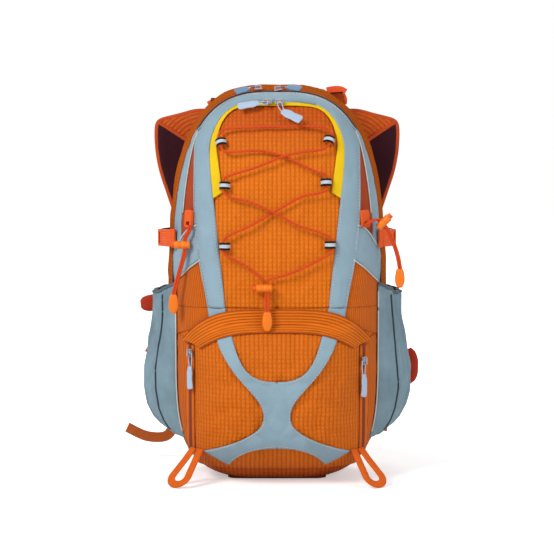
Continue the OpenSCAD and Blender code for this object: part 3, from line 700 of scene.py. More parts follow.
def ribbed_finish(name, main, groove, pitch=3.4, upright=False):
    """Cloth quilted in narrow ribs, across it or up it, with painted shade in the grooves between the ribs.
    """
    finish = Finish(name, roughness=0.6, sheen=0.02, specular=0.15)
    x, y, z = finish.where(True)
    run, other = (x, y) if upright else (y, x)
    rib = (run * (math.pi / pitch)).sin().abs()
    seam = (1 - rib).power(2.6)
    fine = (other * 4.0).sin()
    cloud = finish.speckle(24.0, 3.0)
    # painted shade: the grooves between the ribs are mixed towards the darker groove colour
    finish.feed("Base Color", finish.mix(seam * 0.8, finish.mix(cloud, tinted(main, 0.8), main), groove))
    finish.feed("Roughness", 0.55 + seam * 0.2)
    finish.bump(rib * 1.6 + fine * 0.05 + cloud * 0.8, 0.8, 0.0013)
    return finish.material


piping_pale = plain_cloth_finish("piping_pale", colour(198, 202, 198), 5.0)
rust_gore = plain_cloth_finish("rust_gore", colour(165, 65, 28))
ribbed_foot = ribbed_finish("ribbed_foot", colour(228, 110, 16), colour(182, 78, 12), 3.0, upright=True)


def lay_flat(u, v, p):
    return 1.5 + 1.1 * math.sin(math.pi * u) + ruck(p.x, 0, p.y, (16, 40, 22), 0.5, 4.0)


def mirrored_rows(edges, side, lift):
    return rows_between(*[[(side * x, z) for x, z in edge] for edge in edges], lift)


def edge_lift(base, crown):
    return lambda u, v, p: base + crown * math.sin(math.pi * u)


on_cover = ["front_cover_panel"]
for side, name in sides:
    sewn_panel("side_gore_" + name, 10, 50, mirrored_rows(gore_edges, side, edge_lift(0.7, 0.4)),
               rust_gore, 1.0, "front_cover", "ribbed_rust", on_cover)
    sewn_panel("side_foot_" + name, 16, 30, mirrored_rows(foot_edges, side, edge_lift(0.6, 0.5)),
               ribbed_foot, 1.0, "front_cover", "ribbed_rust", on_cover)
    sewn_panel("side_strip_" + name, 8, 60, mirrored_rows(strip_edges, side, lay_flat), grey_cloth, 1.2,
               "front_cover", "grey_cloth", on_cover, "side_gussets" if side > 0 else None)
    wing_at = mirrored_rows(wing_edges, side, lambda u, v, p: min(1.0, 0.3 + v * 5) * lay_flat(u, v, p))
    sewn_panel("side_wing_" + name, 14, 40, wing_at, grey_cloth, 1.2, "front_cover", "grey_cloth", on_cover)
    for trim, edge, high, thick in (("wing_piping_%s_0" % name, wing_edges[0][1:], 2.6, 1.9),
                                    ("wing_piping_%s_1" % name, wing_edges[1][1:], 2.6, 1.9),
                                    ("strip_piping_" + name, strip_edges[0][:-2], 2.4, 1.7)):
        path = [on_cloth(side * x, z, high) for x, z in edge]
        tube_along(trim, smooth_route(path, 5), thick, piping_pale, "front_cover", 6)

band_route = smooth_route([on_cloth(x, min(z, crest - 2), 2.0) for x, z in band_outer], 3)
tube_along("band_piping", band_route, 2.0, grey_cloth, "front_cover", 6)
thread_pale = Finish("thread_pale", roughness=0.6, sheen=0.05)
x, y, z = thread_pale.where()
twist = ((x + y + z) * 9.0).sin()
thread_pale.feed("Base Color", thread_pale.mix(twist * 0.25 + 0.35, colour(176, 190, 196),
                                               colour(250, 214, 170)))
thread_pale.bump(twist, 0.3, 0.0002)
seams = bmesh.new()
for edge, other in ((band_outer, band_inner), (band_inner, band_outer)):
    row = rows_between(edge, other, band_lift)
    stitch_row(seams, [row(0.09, k / 240) + Vector((0, -0.3, 0)) for k in range(241)])
fitted(cloth_object("band_stitches", seams, thread_pale.material), "front_cover")

band_foot = ([(64.7, 225.9), (62, 209)], [(86.6, 225.9), (84.5, 208)])
side_foot = ([(85, 225.9), (84.5, 206)], [(133, 225.9), (133, 188)])
for side, name in sides:
    sewn_panel("band_foot_" + name, 10, 8, mirrored_rows(band_foot, side, edge_lift(2.6, 0.0)),
               grey_cloth, 1.0, "root", "grey_cloth", ["lower_front"])
    sewn_panel("foot_low_" + name, 20, 14, mirrored_rows(side_foot, side, edge_lift(0.9, 0.0)),
               ribbed_foot, 1.0, "root", "ribbed_rust", ["lower_front"])

# ---- Yellow zip guard ----
# A narrow strip of yellow cloth folded over the upper pocket's opening. It is widest at its two
# lower corners and runs under the grey band at the top.

yellow_cloth = plain_cloth_finish("yellow_cloth", colour(230, 190, 6), soft=0.08)
guard_outer = mirrored_edge([(82.5, 361.5), (84.4, 382), (86.6, 409), (86.8, 428), (84.6, 442), (80, 454.5),
                             (73, 466.5), (62.5, 476.8), (49, 483.6), (28, 486), (0, 486.2)])
guard_inner = mirrored_edge([(68, 371.5), (71.2, 393), (73.7, 411.6), (75.7, 428), (74.8, 440), (72, 451),
                             (67.6, 461.5), (58.6, 472), (46, 477.8), (26, 479.6), (0, 479.8)])


def guard_lift(u, v, p):
    return 2.0 + 1.5 * u ** 0.5 * (1.2 - u) + ruck(p.x, 0, p.y, (20, 40, 26), 0.3, 6.0)


sewn_panel("yellow_guard", 8, 200, rows_between(guard_outer, guard_inner, guard_lift), yellow_cloth, 1.0,
           "front_cover", "yellow_cloth", on_cover, "yellow_zip_guard")

# ---- Upper pocket's zip ----
# A nylon coil zip across the top of the cover, sewn half under the grey band. Two sliders part
# it from the middle.

zip_grey = coil_finish("zip_grey", colour(118, 138, 148), colour(160, 172, 176))


upper_zip_half, upper_zip_width = 48, 3.6


def arch_top(x):
    """The height of the cover's edge at a place across it."""
    return fold + arch_rise * (1 - (abs(x) / half_width) ** arch_power) ** (1 / arch_power)


def upper_zip_place(u, v):
    x = -upper_zip_half + 2 * upper_zip_half * v
    z = arch_top(x) - 16.4 + upper_zip_width * u
    return on_cloth(x, z) + cloth_normal(x, z) * (3.3 + 1.1 * math.sin(math.pi * u))


fitted_panel("upper_zip", 6, 60, upper_zip_place, zip_grey, 0.9, "front_cover", "zip_coil",
             "pocket_zip_chain")

# ---- Lacing loops ----
# Folded tabs of black tape with a reflective grey stripe, sewn down at both ends so that the
# cord runs under their middle.


def webbing_finish(name, main, stripe=None, pitch=1.9):
    """Woven tape: ribs across its width and a herringbone ground."""
    finish = Finish(name, roughness=0.7, sheen=0.04)
    x, y, z = finish.where(True)
    ribs = (y * (2 * math.pi / pitch)).sin()
    lines = (x * (2 * math.pi / 1.4)).sin()
    dust = finish.speckle(90.0, 3.0)
    tint = finish.mix((ribs * lines) * 0.3 + dust * 0.5, tinted(main, 0.62), main)
    if stripe is not None:
        centre = 1 - x.abs().above(2.1)
        tint = finish.mix(centre * 0.95, tint, stripe)
    finish.feed("Base Color", tint)
    finish.bump(ribs * 0.7 + lines * 0.5, 0.5, 0.0004)
    return finish.material


loop_tape = webbing_finish("loop_tape", colour(24, 24, 26), colour(196, 204, 210))
loop_width, loop_foot = 9.5, 1.7
for name in loop_places:
    base, along, side, normal = loop_axes(name)

    def loop_point(u, v):
        s = (v - 0.5) * (loop_span + 2 * loop_foot)
        ease = max(0.0, 1 - (abs(s) / (loop_span / 2 + loop_foot)) ** 2.6)
        up = -1.6 + (loop_height + 1.2) * ease ** 0.8
        return base + along * (u - 0.5) * loop_width + side * s + normal * up

    fitted_panel("lacing_loop_" + name, 8, 24, loop_point, loop_tape, 0.7, "front_cover", "black_webbing",
                 "lacing_loops" if name == "top_left" else None)

# ---- Lower front pocket ----
# A domed pocket of ripstop over the lower panel. Its zip runs down both sides under a hood of
# ribbed cloth, and it sags into soft folds because it is empty.

pocket_half, pocket_low, pocket_high, pocket_out = 104.0, 20.0, 206.0, 26.0
pocket_middle, pocket_rise = (pocket_low + pocket_high) / 2, (pocket_high - pocket_low) / 2


def pocket_shape(x, z):
    return (max(0.0, 1 - (abs(x) / pocket_half) ** 4)
            * max(0.0, 1 - (abs(z - pocket_middle) / pocket_rise) ** 4))


def on_pocket(x, z, lift):
    p = on_cloth(x, z, 1.8)
    p.y -= pocket_out * pocket_shape(x, z) + lift
    return p


def drawn_in(x, z):
    """Slanting puckers where the cloth is drawn in along the zips."""
    near = math.exp(-((pocket_half - 8 - abs(x)) / 26) ** 2)
    wave = math.sin((z - 0.55 * (pocket_half - abs(x)) + 9 * noise.noise(Vector((x / 30, z / 40, 2)))) / 4.6)
    return -1.0 * near * wave * pocket_shape(x * 0.9, z)


def pocket_place(u, v):
    x = pocket_half * math.sin(math.pi * (u - 0.5))
    z = pocket_middle + pocket_rise * math.sin(math.pi * (v - 0.5))
    bulk = pocket_shape(x, z)
    p = on_pocket(x, z, 2.0)
    p.y += bulk * (0.8 + ruck(x, 0, z, (26, 40, 34), 3.0, 1.0)) + drawn_in(x, z)
    return p


pocket_orange = ripstop_finish("ripstop_pocket", colour(208, 104, 12), colour(170, 70, 6))
sewn_panel("front_pocket", 90, 80, pocket_place, pocket_orange, 1.6, "root", "ripstop_orange",
           ["lower_front"], "lower_pocket")


flap_half = 97


def flap_top(x):
    return 224 - 45 * (abs(x) / 124) ** 4


def flap_low(x):
    return 197 - 22 * (abs(x) / flap_half) ** 3.4


def flap_place(u, v):
    c = math.sin(math.pi * (u - 0.5))
    x = c * (flap_half + 24 * v)
    z = flap_low(x) + (flap_top(x) - flap_low(x)) * v
    lift = 3.8 + 2.6 * math.sin(math.pi * min(1.0, v * 1.04)) ** 0.7 + 0.6 * abs(math.sin(math.pi * v * 7))
    return on_pocket(x, z, lift + ruck(x, 0, z, (30, 40, 14), 0.8, 8.0))


rust_ribbed = ribbed_finish("ribbed_rust", colour(236, 118, 16), colour(184, 80, 12), 3.8)
sewn_panel("pocket_hood", 100, 42, flap_place, rust_ribbed, 1.6, "root", "ribbed_rust", ["lower_front"],
           "lower_flap")
hood_edge = [on_pocket(x, flap_low(x), 4.4) for x in range(-flap_half, flap_half + 1, 4)]
tube_along("hood_piping", hood_edge, 1.8, binding_orange, "root")
top_seam = [on_pocket(x, flap_top(x) + 0.5, 3.0) for x in range(-120, 121, 4)]
tube_along("hood_top_piping", top_seam, 1.3, binding_orange, "root")

# ---- Grey cross ----
# Two curved strips of grey cloth that meet in the middle of the pocket, turned under at their
# edges and sewn flat.


def bezier(a, b, c, d, count):
    found = []
    for k in range(count + 1):
        t = k / count
        found.append(tuple((1 - t) ** 3 * a[i] + 3 * t * (1 - t) ** 2 * b[i]
                           + 3 * t * t * (1 - t) * c[i] + t ** 3 * d[i] for i in (0, 1)))
    return found


cross_inner = (bezier((58, 198), (46, 150), (34, 136.5), (0, 136.5), 8) + [(0, 112), (0, 92), (0, 72)]
               + bezier((0, 51), (32, 51), (50, 42), (61, 25), 8))
cross_outer = (bezier((79, 195), (60, 136), (19, 122), (17, 96), 8) + [(17, 94), (17, 92), (17, 91)]
               + bezier((17, 89), (18, 70), (56, 56), (94, 43), 8))


def cross_place(u, v, side):
    """u runs across one strip of the cross and v down it; side mirrors it."""
    i, t = step_at(cross_inner, v)
    a, b = (Vector(edge[i]).lerp(Vector(edge[i + 1]), t) for edge in (cross_inner, cross_outer))
    p = a.lerp(b, u)
    joined = 1.0 if 0.32 < v < 0.62 else 0.0
    rim = min(1.0, (1 - u) * 9) * min(1.0, u * 9 + joined)
    soft = pocket_shape(p.x, p.y) * ruck(p.x, 0, p.y, (26, 40, 34), 3.0, 1.0)
    lift = 3.0 + 1.3 * rim ** 0.5 + 0.9 - 0.55 * soft
    return on_pocket(side * p.x, p.y, lift - 2.2 * max(0.0, 1 - v / 0.05))


cross_mesh = bmesh.new()
cross_thread = bmesh.new()
for side in (1, -1):
    half = cloth_panel("cross_half", 16, 96, lambda u, v: cross_place(u, v, side), grey_cloth, 0.0)
    cross_mesh.from_mesh(half.data)
    bpy.data.objects.remove(half)
    for u in (0.08, 0.93):
        route = [cross_place(u, k / 160, side) + Vector((0, -0.25, 0)) for k in range(8, 161)]
        parts = (route[:50], route[90:]) if u < 0.5 else (route,)
        for part in parts:
            stitch_row(cross_thread, part)
bmesh.ops.remove_doubles(cross_mesh, verts=cross_mesh.verts, dist=0.00005)
bmesh.ops.scale(cross_mesh, vec=(1000, 1000, 1000), verts=cross_mesh.verts)
cross = cloth_object("grey_cross", cross_mesh, grey_cloth, 1.0)
fitted(cross, "root", "cross_applique")
fitted(cloth_object("cross_stitches", cross_thread, thread_pale.material), "root")

# ---- Lower pocket's zips ----
# Nylon coil zips down both sides of the pocket, each sewn between two raised welts of cloth,
# with a strip of ribbed cloth beside it.

zip_brown = coil_finish("zip_brown", colour(150, 58, 20), colour(104, 40, 16))
zip_welt = plain_cloth_finish("zip_welt", colour(212, 102, 16))
ribbed_strip = ribbed_finish("ribbed_strip", colour(224, 108, 16), colour(176, 76, 12), 3.4, upright=True)
strip_rows = ([(112, 186), (113, 140), (113, 90), (112, 44)],
              [(127, 190), (127.5, 140), (125, 90), (119, 52)])
low_zip_x, low_zip_foot, low_zip_run, low_zip_width = 110, 42, 140, 5.2


def strip_lift(u, v, p):
    return 0.8 + 1.5 * math.sin(math.pi * u) + ruck(p.x, 0, p.y, (14, 40, 30), 0.6, 2.0)


for side, name in sides:

    def low_zip_place(u, v):
        x = low_zip_x - low_zip_width / 2 + low_zip_width * u
        z = low_zip_foot + low_zip_run * v
        return on_cloth(side * x, z) + cloth_normal(side * x, z) * (1.2 + 1.3 * math.sin(math.pi * u))

    fitted_panel("lower_zip_" + name, 6, 90, low_zip_place, zip_brown, 0.9, "root", "zip_coil",
                 "lower_zip_chains" if side > 0 else None)
    sewn_panel("lower_side_strip_" + name, 12, 60, mirrored_rows(strip_rows, side, strip_lift),
               ribbed_strip, 1.2, "root", "ribbed_rust", ["lower_front"])
    for x in (106.6, 113.4):
        tube_along("lower_zip_welt_%s_%d" % (name, x),
                   [on_cloth(side * x, z, 1.5) for z in range(40, 184, 6)], 4.8,
                   zip_welt, "root", 10, flat=0.55, lift=cloth_normal(side * x, 110))

# ---- Side pockets ----
# Grey stretch cloth gathered into a bound elastic edge, with a pleat near the front and a dark
# tube along the pleat as painted shadow. They are sewn in at both sides and hold a bottle against the pack.

side_levels = [(54, 2), (58, 8), (64, 15), (74, 22), (90, 28), (115, 31), (142, 29.5), (175, 23),
               (210, 17), (242, 13)]


def side_x(y, z):
    """Half width of the pack at a depth and height."""
    if y < 0:
        share = 1 - (-y / depth) ** crown_power - front_reach(0, z)
        return half_width * max(0.02, share) ** (1 / arch_power)
    y = max(y, rim_y)
    if z > fold:
        short = ((z - fold) / between(rear_rise, y)) ** arch_power
    else:
        short = ((fold - z) / (between(rear_drop, y) + 4)) ** foot_power
    return between(rear_width, y) * (1 - short) ** (1 / arch_power)


stretch_grey = plain_cloth_finish("stretch_grey", colour(124, 150, 162), 2.6, 0.34)
# painted shadow: dark grey cloth for the tube that stands in for the shade inside the pleat
pleat_shadow_dark = plain_cloth_finish("pleat_shadow_dark", colour(52, 60, 66), 5.0)
edge_elastic = webbing_finish("edge_elastic", colour(104, 122, 130), pitch=2.4)
bag_front, bag_run, bag_foot, bag_tall = -46, 106, 55, 188
for side, name in sides:

    def pocket_wall(u, v, lift=3.0):
        y = bag_front + bag_run * u
        z = bag_foot + bag_tall * v
        level = between(side_levels, z)
        swell = math.sin(math.pi * u) ** 0.6 if 0 < u < 1 else 0.0
        top = max(0.0, (v - 0.66) / 0.34)
        gather = 1.5 * top * math.sin(u * 74 + 1.2 * math.sin(u * 19)) * swell
        pleat = 3.0 * min(1.0, max(0.0, (u - 0.2) / 0.03)) * swell
        droop = 5.0 * top * top * math.sin(math.pi * u)
        wander = 3.2 * noise.noise(Vector((u * 3, z / 70, side * 4)))
        past_pleat = max(0.0, min(1.0, (u - 0.22) * 8))
        folds = (1.1 + 1.3 * past_pleat) * math.sin(u * 34 + wander) * (0.35 + 0.65 * v)
        soft = (ruck(side * 40, y, z, (40, 22, 60), 2.0, 3.0) + folds) * swell
        front_rise = 24 * top * max(0.0, 0.42 - u)
        z = z - droop + front_rise
        out = side_x(y, min(z, 242)) + lift + level * swell + gather + pleat + soft
        return Vector((side * out, y, z))

    bag = fitted_panel("side_pocket_cloth_" + name, 170, 70, pocket_wall, stretch_grey, 1.4, "root",
                       "grey_cloth", "side_pocket_" + name, facing=(side, 0, 0))
    hem = [pocket_wall(k / 84, 1.0) + Vector((0, 0, 0.4)) for k in range(85)]
    tube_along("side_pocket_hem_" + name, hem, 3.4, edge_elastic, "root", flat=1.3)
    # the third tube, at u 0.195 in the dark cloth, is painted shadow along the pleat
    for number, (u, thick, cloth) in enumerate(((0.0, 2.0, piping_pale), (1.0, 2.4, grey_cloth),
                                                (0.195, 2.6, pleat_shadow_dark))):
        seam = [pocket_wall(u, 0.04 + 0.92 * k / 60, lift=3.2) for k in range(61)]
        tube_along("side_pocket_seam_%s_%d" % (name, number), seam, thick, cloth, "root")

# ---- Shoulder straps ----
# Curved foam straps: orange ripstop outside, dark air mesh towards the wearer, and an orange
# binding rolled round the edge. They are sewn into the back panel under the haul loop.


def strip_ring(stations, face, power, at, angle, grow=0.0):
    """A point of a padded strip: at runs over its stations, angle round its section."""
    i = min(len(stations) - 2, int(at))
    t = at - i

    def pick(k):
        return stations[min(max(k, 0), len(stations) - 1)]

    def curve(read):
        return smooth_point(*(read(pick(i + k)) for k in (-1, 0, 1, 2)), t)

    centre = curve(lambda s: Vector(s[0]))
    lead = Vector(pick(i + 1)[0]) - Vector(pick(i)[0])
    back = Vector(pick(i)[0]) - Vector(pick(i - 1)[0]) if i else lead
    on = Vector(pick(i + 2)[0]) - Vector(pick(i + 1)[0]) if i + 2 < len(stations) else lead
    tangent = (back.normalized() * (1 - t) + lead.normalized() + on.normalized() * t).normalized()
    wide = Vector(face).cross(tangent).normalized()
    thick = tangent.cross(wide)
    half = stations[i][1] * (1 - t) + pick(i + 1)[1] * t
    deep = stations[i][2] * (1 - t) + pick(i + 1)[2] * t
    if len(stations[i]) > 3:
        span = curve(lambda s: Vector(s[3]))
        half, wide = span.length, span.normalized()
        thick = (Vector(face) - wide * wide.dot(Vector(face))).normalized()
    c, s = math.cos(angle), math.sin(angle)
    return (centre + wide * (half + grow) * signed_power(c, power)
            + thick * (deep + grow) * signed_power(s, power))


def mesh_finish(name, main, hole):
    """Knitted spacer mesh: rows of small round holes, darker than the knit round them."""
    finish = Finish(name, roughness=0.85, sheen=0.03, specular=0.1)
    x, y, z = finish.where()
    open_share = ((x * 2.1).sin() * (z * 2.1).sin()).abs().power(2.0)
    cloud = finish.speckle(30.0, 3.0)
    finish.feed("Base Color", finish.mix(open_share, finish.mix(cloud, tinted(main, 0.6), main), hole))
    finish.bump((1 - open_share) + cloud * 1.2, 0.8, 0.0010)
    return finish.material


maroon_mesh = mesh_finish("air_mesh_maroon", colour(72, 30, 40), colour(34, 12, 18))
black_mesh = mesh_finish("air_mesh_black", colour(52, 50, 52), colour(12, 12, 14))
strap_binding = webbing_finish("strap_binding", colour(214, 84, 28), pitch=2.2)
strap_top = ripstop_finish("ripstop_strap", colour(196, 84, 22), colour(150, 56, 14))


def closed_shape(pad):
    """A pad's mesh with its open ends filled."""
    shape = bmesh.new()
    shape.from_mesh(pad.data)
    open_edges = [e for e in shape.edges if e.is_boundary]
    if open_edges:
        bmesh.ops.holes_fill(shape, edges=open_edges, sides=0)
    bmesh.ops.recalc_face_normals(shape, faces=shape.faces)
    return shape


def padded_piece(name, stations, power, material_in, material_out, body, root=None):
    """A foam pad, bound at both edges. Its second cloth is on +Y, and where root(place) says."""
    last = len(stations) - 1
    toward = (0, 1, 0)

    def place(u, v):
        p = strip_ring(stations, toward, power, v * last, 2 * math.pi * u)
        swell = ruck(p.x, p.y, p.z, (30, 30, 38), 0.8, 2.0)
        return p + Vector((0, math.copysign(1, math.sin(2 * math.pi * u)) * swell * 0.5, 0))

    pad = cloth_panel(name, 36, 26 * last // 3, place, material_in, 0.0, facing=toward)
    shape = closed_shape(pad)
    pad.data.materials.append(material_out)
    middles = [strip_ring(stations, toward, power, k / 6, 0.0).lerp(
        strip_ring(stations, toward, power, k / 6, math.pi), 0.5) for k in range(6 * last + 1)]
    for f in shape.faces:
        spot = f.calc_center_median() / mm
        near = min(middles, key=lambda m: (m - spot).length_squared)
        at_root = root is not None and root(spot)
        f.material_index = 1 if (spot - near).dot(Vector(toward)) > 0.0 or at_root else 0
        f.smooth = True
    shape.to_mesh(pad.data)
    shape.free()
    fitted(pad, body, body)
    for edge in (0.0, math.pi):
        count, thick, grow = (90, 8.2, -0.4) if root else (40, 6.0, 0.3)
        route = [strip_ring(stations, toward, power, k * last / count, edge, grow) for k in range(count + 1)]
        tube_along("%s_%d" % (name.replace("pad", "binding"), edge), route, thick, strap_binding, body,
                   10, flat=0.9, lift=toward)


def strap_root(p):
    """The strap's root, above a slanting seam, is all in the outer cloth."""
    return p.z > 443.6 + 0.738 * (abs(p.x) - 131.5)


strap_out = [(56, 466), (84, 475), (108, 477), (133, 471), (150, 466.8), (158.4, 464), (162.4, 459.4),
             (163.6, 449), (163.4, 436), (161.8, 418), (157, 394.6), (147, 364), (137.4, 334), (132, 302),
             (127, 270), (118, 250)]
strap_in = [(56, 444), (84, 436), (97, 432), (103, 431.5), (106, 429.6), (108.6, 427.2), (110.6, 424.2),
            (112, 419), (112.6, 411), (111.6, 400), (106, 380), (97, 352), (91, 327), (91, 300), (96, 270),
            (100, 250)]
strap_deep = [93, 104, 111, 115, 117, 118, 118.4, 119, 120, 121, 121, 120, 118, 115.5, 112, 110]
root_line = ((160, 114.6, 461.6), (147, 112.6, 453.6), (130, 110.6, 442.6), (118, 109, 434.6))
daisy_line = ((128, 128.4, 443), (139.5, 129.6, 412), (132, 128.4, 384), (121, 126.4, 346),
              (114, 123.4, 312))
for side, name in sides:
    stations = [((side * (x1 + x2) / 2, y, (z1 + z2) / 2), 28, 3.9 if z1 < 260 or x1 < 60 else 6,
                 (side * (x1 - x2) / 2, 0, (z1 - z2) / 2))
                for (x1, z1), (x2, z2), y in zip(strap_out, strap_in, strap_deep)]
    body = "shoulder_strap_" + name
    padded_piece("strap_pad_" + name, stations, 0.55, maroon_mesh, strap_top, body, strap_root)
    root_edge = smooth_route([Vector((side * x, y, z)) for x, y, z in root_line], 8)
    tube_along("strap_root_binding_" + name, root_edge, 5.4, strap_binding, body,
               flat=0.8, lift=(0, 1, 0))
    daisy = [((side * x, y - 1.0, z), 10.0, 1.0) for x, y, z in daisy_line]
    fitted_panel("strap_daisy_" + name, 12, 80,
                 lambda u, v: strip_ring(daisy, (0, 1, 0), 0.2, v * 4, 2 * math.pi * u),
                 strap_binding, 0.0, body, "webbing", facing=(0, 1, 0))

# ---- Strap webbing and ladder locks ----
# Flat nylon webbing, threaded through a moulded ladder lock at each strap's end and sewn into
# the pack's lower corner. Pulling its tail shortens the strap.

black_tape = webbing_finish("black_tape", colour(46, 44, 46))
orange_tape = webbing_finish("orange_tape", colour(255, 112, 16))
rust_tape = webbing_finish("rust_tape", colour(184, 74, 30))


def tape_piece(name, stations, face, material, body, slot, node=None):
    """Flat webbing along a route of [centre, half width, half thickness]."""
    last = len(stations) - 1
    fitted_panel(name, 14, 60, lambda u, v: strip_ring(stations, face, 0.25, v * last, 2 * math.pi * u),
                 material, 0.0, body, slot, node, facing=face)


def dress(node, *materials):
    """A better finish on a CAD node's own material slots."""
    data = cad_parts[node].data
    data.materials.clear()
    for material in materials:
        data.materials.append(material)


for side, name in sides:
    stations = [((side * x, y, z), w, 0.8) for x, y, z, w in
                ((108, 107.2, 234, 10), (107, 103, 222, 10), (106, 98, 208, 7), (106, 94, 200, 5),
                 (106, 91, 195, 3))]
    tape_piece("strap_tape_" + name, stations, (0, 1, 0), black_tape, "shoulder_strap_" + name,
               "black_webbing")
    dress("strap_webbing_" + name, black_tape)

# ---- Strap tail ----
# The spare end of the left strap's webbing, rolled up on itself and tacked behind the side
# pocket so that it doesn't swing.


def moulded_rings(stations, face, power=0.6, steps=24, around=20):
    """Closed rings along a solid strip, for moulded_piece."""
    last = len(stations) - 1
    return [[strip_ring(stations, face, power, last * k / steps, 2 * math.pi * j / around)
             for j in range(around)] for k in range(steps + 1)]


def moulded_piece(name, parts, material, body, node=None):
    """One closed piece from lists of rings, each skinned and closed at both ends."""
    mesh = bmesh.new()
    for rings in parts:
        rows = [[mesh.verts.new(p) for p in ring] for ring in rings]
        count = len(rows[0])
        for a, b in zip(rows, rows[1:]):
            for k in range(count):
                mesh.faces.new((a[k], a[(k + 1) % count], b[(k + 1) % count], b[k]))
        mesh.faces.new(rows[0][::-1])
        mesh.faces.new(rows[-1])
    bmesh.ops.recalc_face_normals(mesh, faces=mesh.faces)
    fitted(cloth_object(name, mesh, material), body, node)


tail_red = webbing_finish("tail_red", colour(206, 60, 34), pitch=3.2)
roll = [((x, y, z), w, d) for x, y, z, w, d in
        ((-116, 97, 224, 6, 1.6), (-140, 99, 222, 7, 2), (-152, 98, 220, 8, 2.6),
         (-160, 97.6, 218.6, 10.5, 4.2), (-168, 97.2, 217.4, 11.5, 5), (-176, 97, 216.4, 11, 4.8),
         (-182, 97, 215.8, 9, 4), (-185.6, 97, 215.4, 5, 2.2))]
moulded_piece("strap_tail_roll", [moulded_rings(roll, (0, 1, 0), 0.7, 30, 24)], tail_red, "root")

# ---- Load lifters and compression straps ----
# Short tapes: from the pack's top edge to each strap, and from each side buckle back to the
# rear edge.


def plastic_finish(name, main, roughness=0.42):
    """Moulded plastic: a fine satin grain and faint flow marks."""
    finish = Finish(name, roughness=roughness, specular=0.35)
    dust = finish.speckle(300.0, 4.0, 0.6)
    flow = finish.speckle(40.0, 2.0)
    finish.feed("Base Color", finish.mix(flow * 0.6 + dust * 0.2, tinted(main, 0.8), main))
    finish.feed("Roughness", roughness - 0.06 + dust * 0.14)
    finish.bump(dust, 0.12, 0.0004)
    return finish.material


lock_red = plastic_finish("lock_red", colour(228, 82, 26))
buckle_z = 312
lift_line = ((78, 44, 500, 0.6), (80, 62, 499, 0.9), (82, 80, 492, 1), (84, 94, 487, 1))
lock_line = ((67, 502.4), (78, 504.2), (86, 503.4), (91.5, 500.4))
end_line = ((88, 86, 500), (91, 87.5, 493), (90.5, 89, 486))
web_line = ((147, -9), (151.5, 4), (153, 16), (152.5, 28), (152, 44), (148, 62), (141, 76), (132, 86))
for side, name in sides:
    low = 0 if side > 0 else 13
    lift = [((side * x, y, z - low * t), 9.4, 0.9) for x, y, z, t in lift_line]
    tape_piece("load_lifter_" + name, lift, (0, 0.5, 1), orange_tape, "root", "webbing",
               "load_lifters" if side > 0 else None)
    lock = [((side * x, 86, z - low * 1.3), 6.4, 1.6) for x, z in lock_line]
    end = [((side * x, y, z - low * 1.3), 3.4, 0.8) for x, y, z in end_line]
    moulded_piece("load_lifter_lock_" + name, [moulded_rings(part, (0, 1, 0), 0.5) for part in (lock, end)],
                  lock_red, "root")
    web = [((side * x, y, buckle_z), 9, 0.9) for x, y in web_line]
    tape_piece("compression_strap_" + name, web, (side, 0, 0), rust_tape, "root", "webbing",
               "compression_webs" if side > 0 else None)

# ---- Hip wings ----
# Foam wings covered in the same mesh and ripstop and sewn to the back panel's lower corners,
# with a tail of flat webbing from each tip.

wing_path = [((92, 99, 140), 34, 5), ((104, 101, 140), 37, 7), ((130, 103, 139), 35, 7),
             ((156, 103, 137), 29, 6), ((172, 101, 136), 20, 5), ((178, 100, 136), 13, 3)]
wing_tape = webbing_finish("wing_tape", colour(216, 108, 46))
tail_routes = {"left": ((-168, 109.4, 128), (-156, 109.6, 104), (-147, 111, 76), (-143, 110, 50),
                        (-152, 108, 33), (-178, 104, 33), (-205, 100, 46)),
               "right": ((170, 109.4, 128), (162, 110, 96), (150, 111, 66), (144, 110, 40))}
for side, name in sides:
    stations = [((side * x, y, z), w, d) for (x, y, z), w, d in wing_path]
    padded_piece("hip_pad_" + name, stations, 0.5, top_orange, maroon_mesh, "hip_wing_" + name)
    tape_piece("hip_webbing_tape_" + name, [(p, 7, 0.9) for p in tail_routes[name]], (0, 1, 0), wing_tape,
               "hip_wing_" + name, "webbing", "hip_webbing_" + name)

# the right tail's webbing is folded back on itself at the wing's tip
wing_fold = [((x, 101, z), w, d) for x, z, w, d in
             ((179, 107, 3, 2), (184, 113, 5.4, 3.4), (186.5, 122, 6.4, 4), (186.5, 138, 6.4, 4),
              (184, 148, 5.4, 3.4), (180, 154, 3, 2))]
moulded_piece("hip_webbing_fold", [moulded_rings(wing_fold, (0, 1, 0), 0.7, 30, 24)], tail_red,
              "hip_wing_right")

# ---- Back pads ----
# Moulded foam pads under black air mesh, two long and one across the hips, with a channel
# between them for air.


def back_pad(name, centre, stations, node=None):
    """stations are [height, half width, crown]; the pad is crowned towards the wearer."""

    def place(u, v):
        i, t = step_at(stations, v)
        z, half, crown = (stations[i][k] * (1 - t) + stations[i + 1][k] * t for k in range(3))
        angle = math.pi * u
        c, s = math.cos(angle), math.sin(angle)
        x = half * signed_power(c, 0.6)
        y = crown * max(0.0, s) ** 0.6
        groove = 1.6 * math.exp(-((abs(x) - half * 0.62) / 3.0) ** 2) * (crown / 10)
        soft = ruck(centre + x, 0, z, (30, 30, 40), 0.5, 4.0) * s
        return Vector((centre + x, back_y + 0.6 + max(0.0, y - groove) + soft, z))

    pad = cloth_panel(name, 40, 60, place, black_mesh, 0.0, facing=(0, 1, 0))
    shape = closed_shape(pad)
    shape.to_mesh(pad.data)
    shape.free()
    fitted(pad, "root", node)


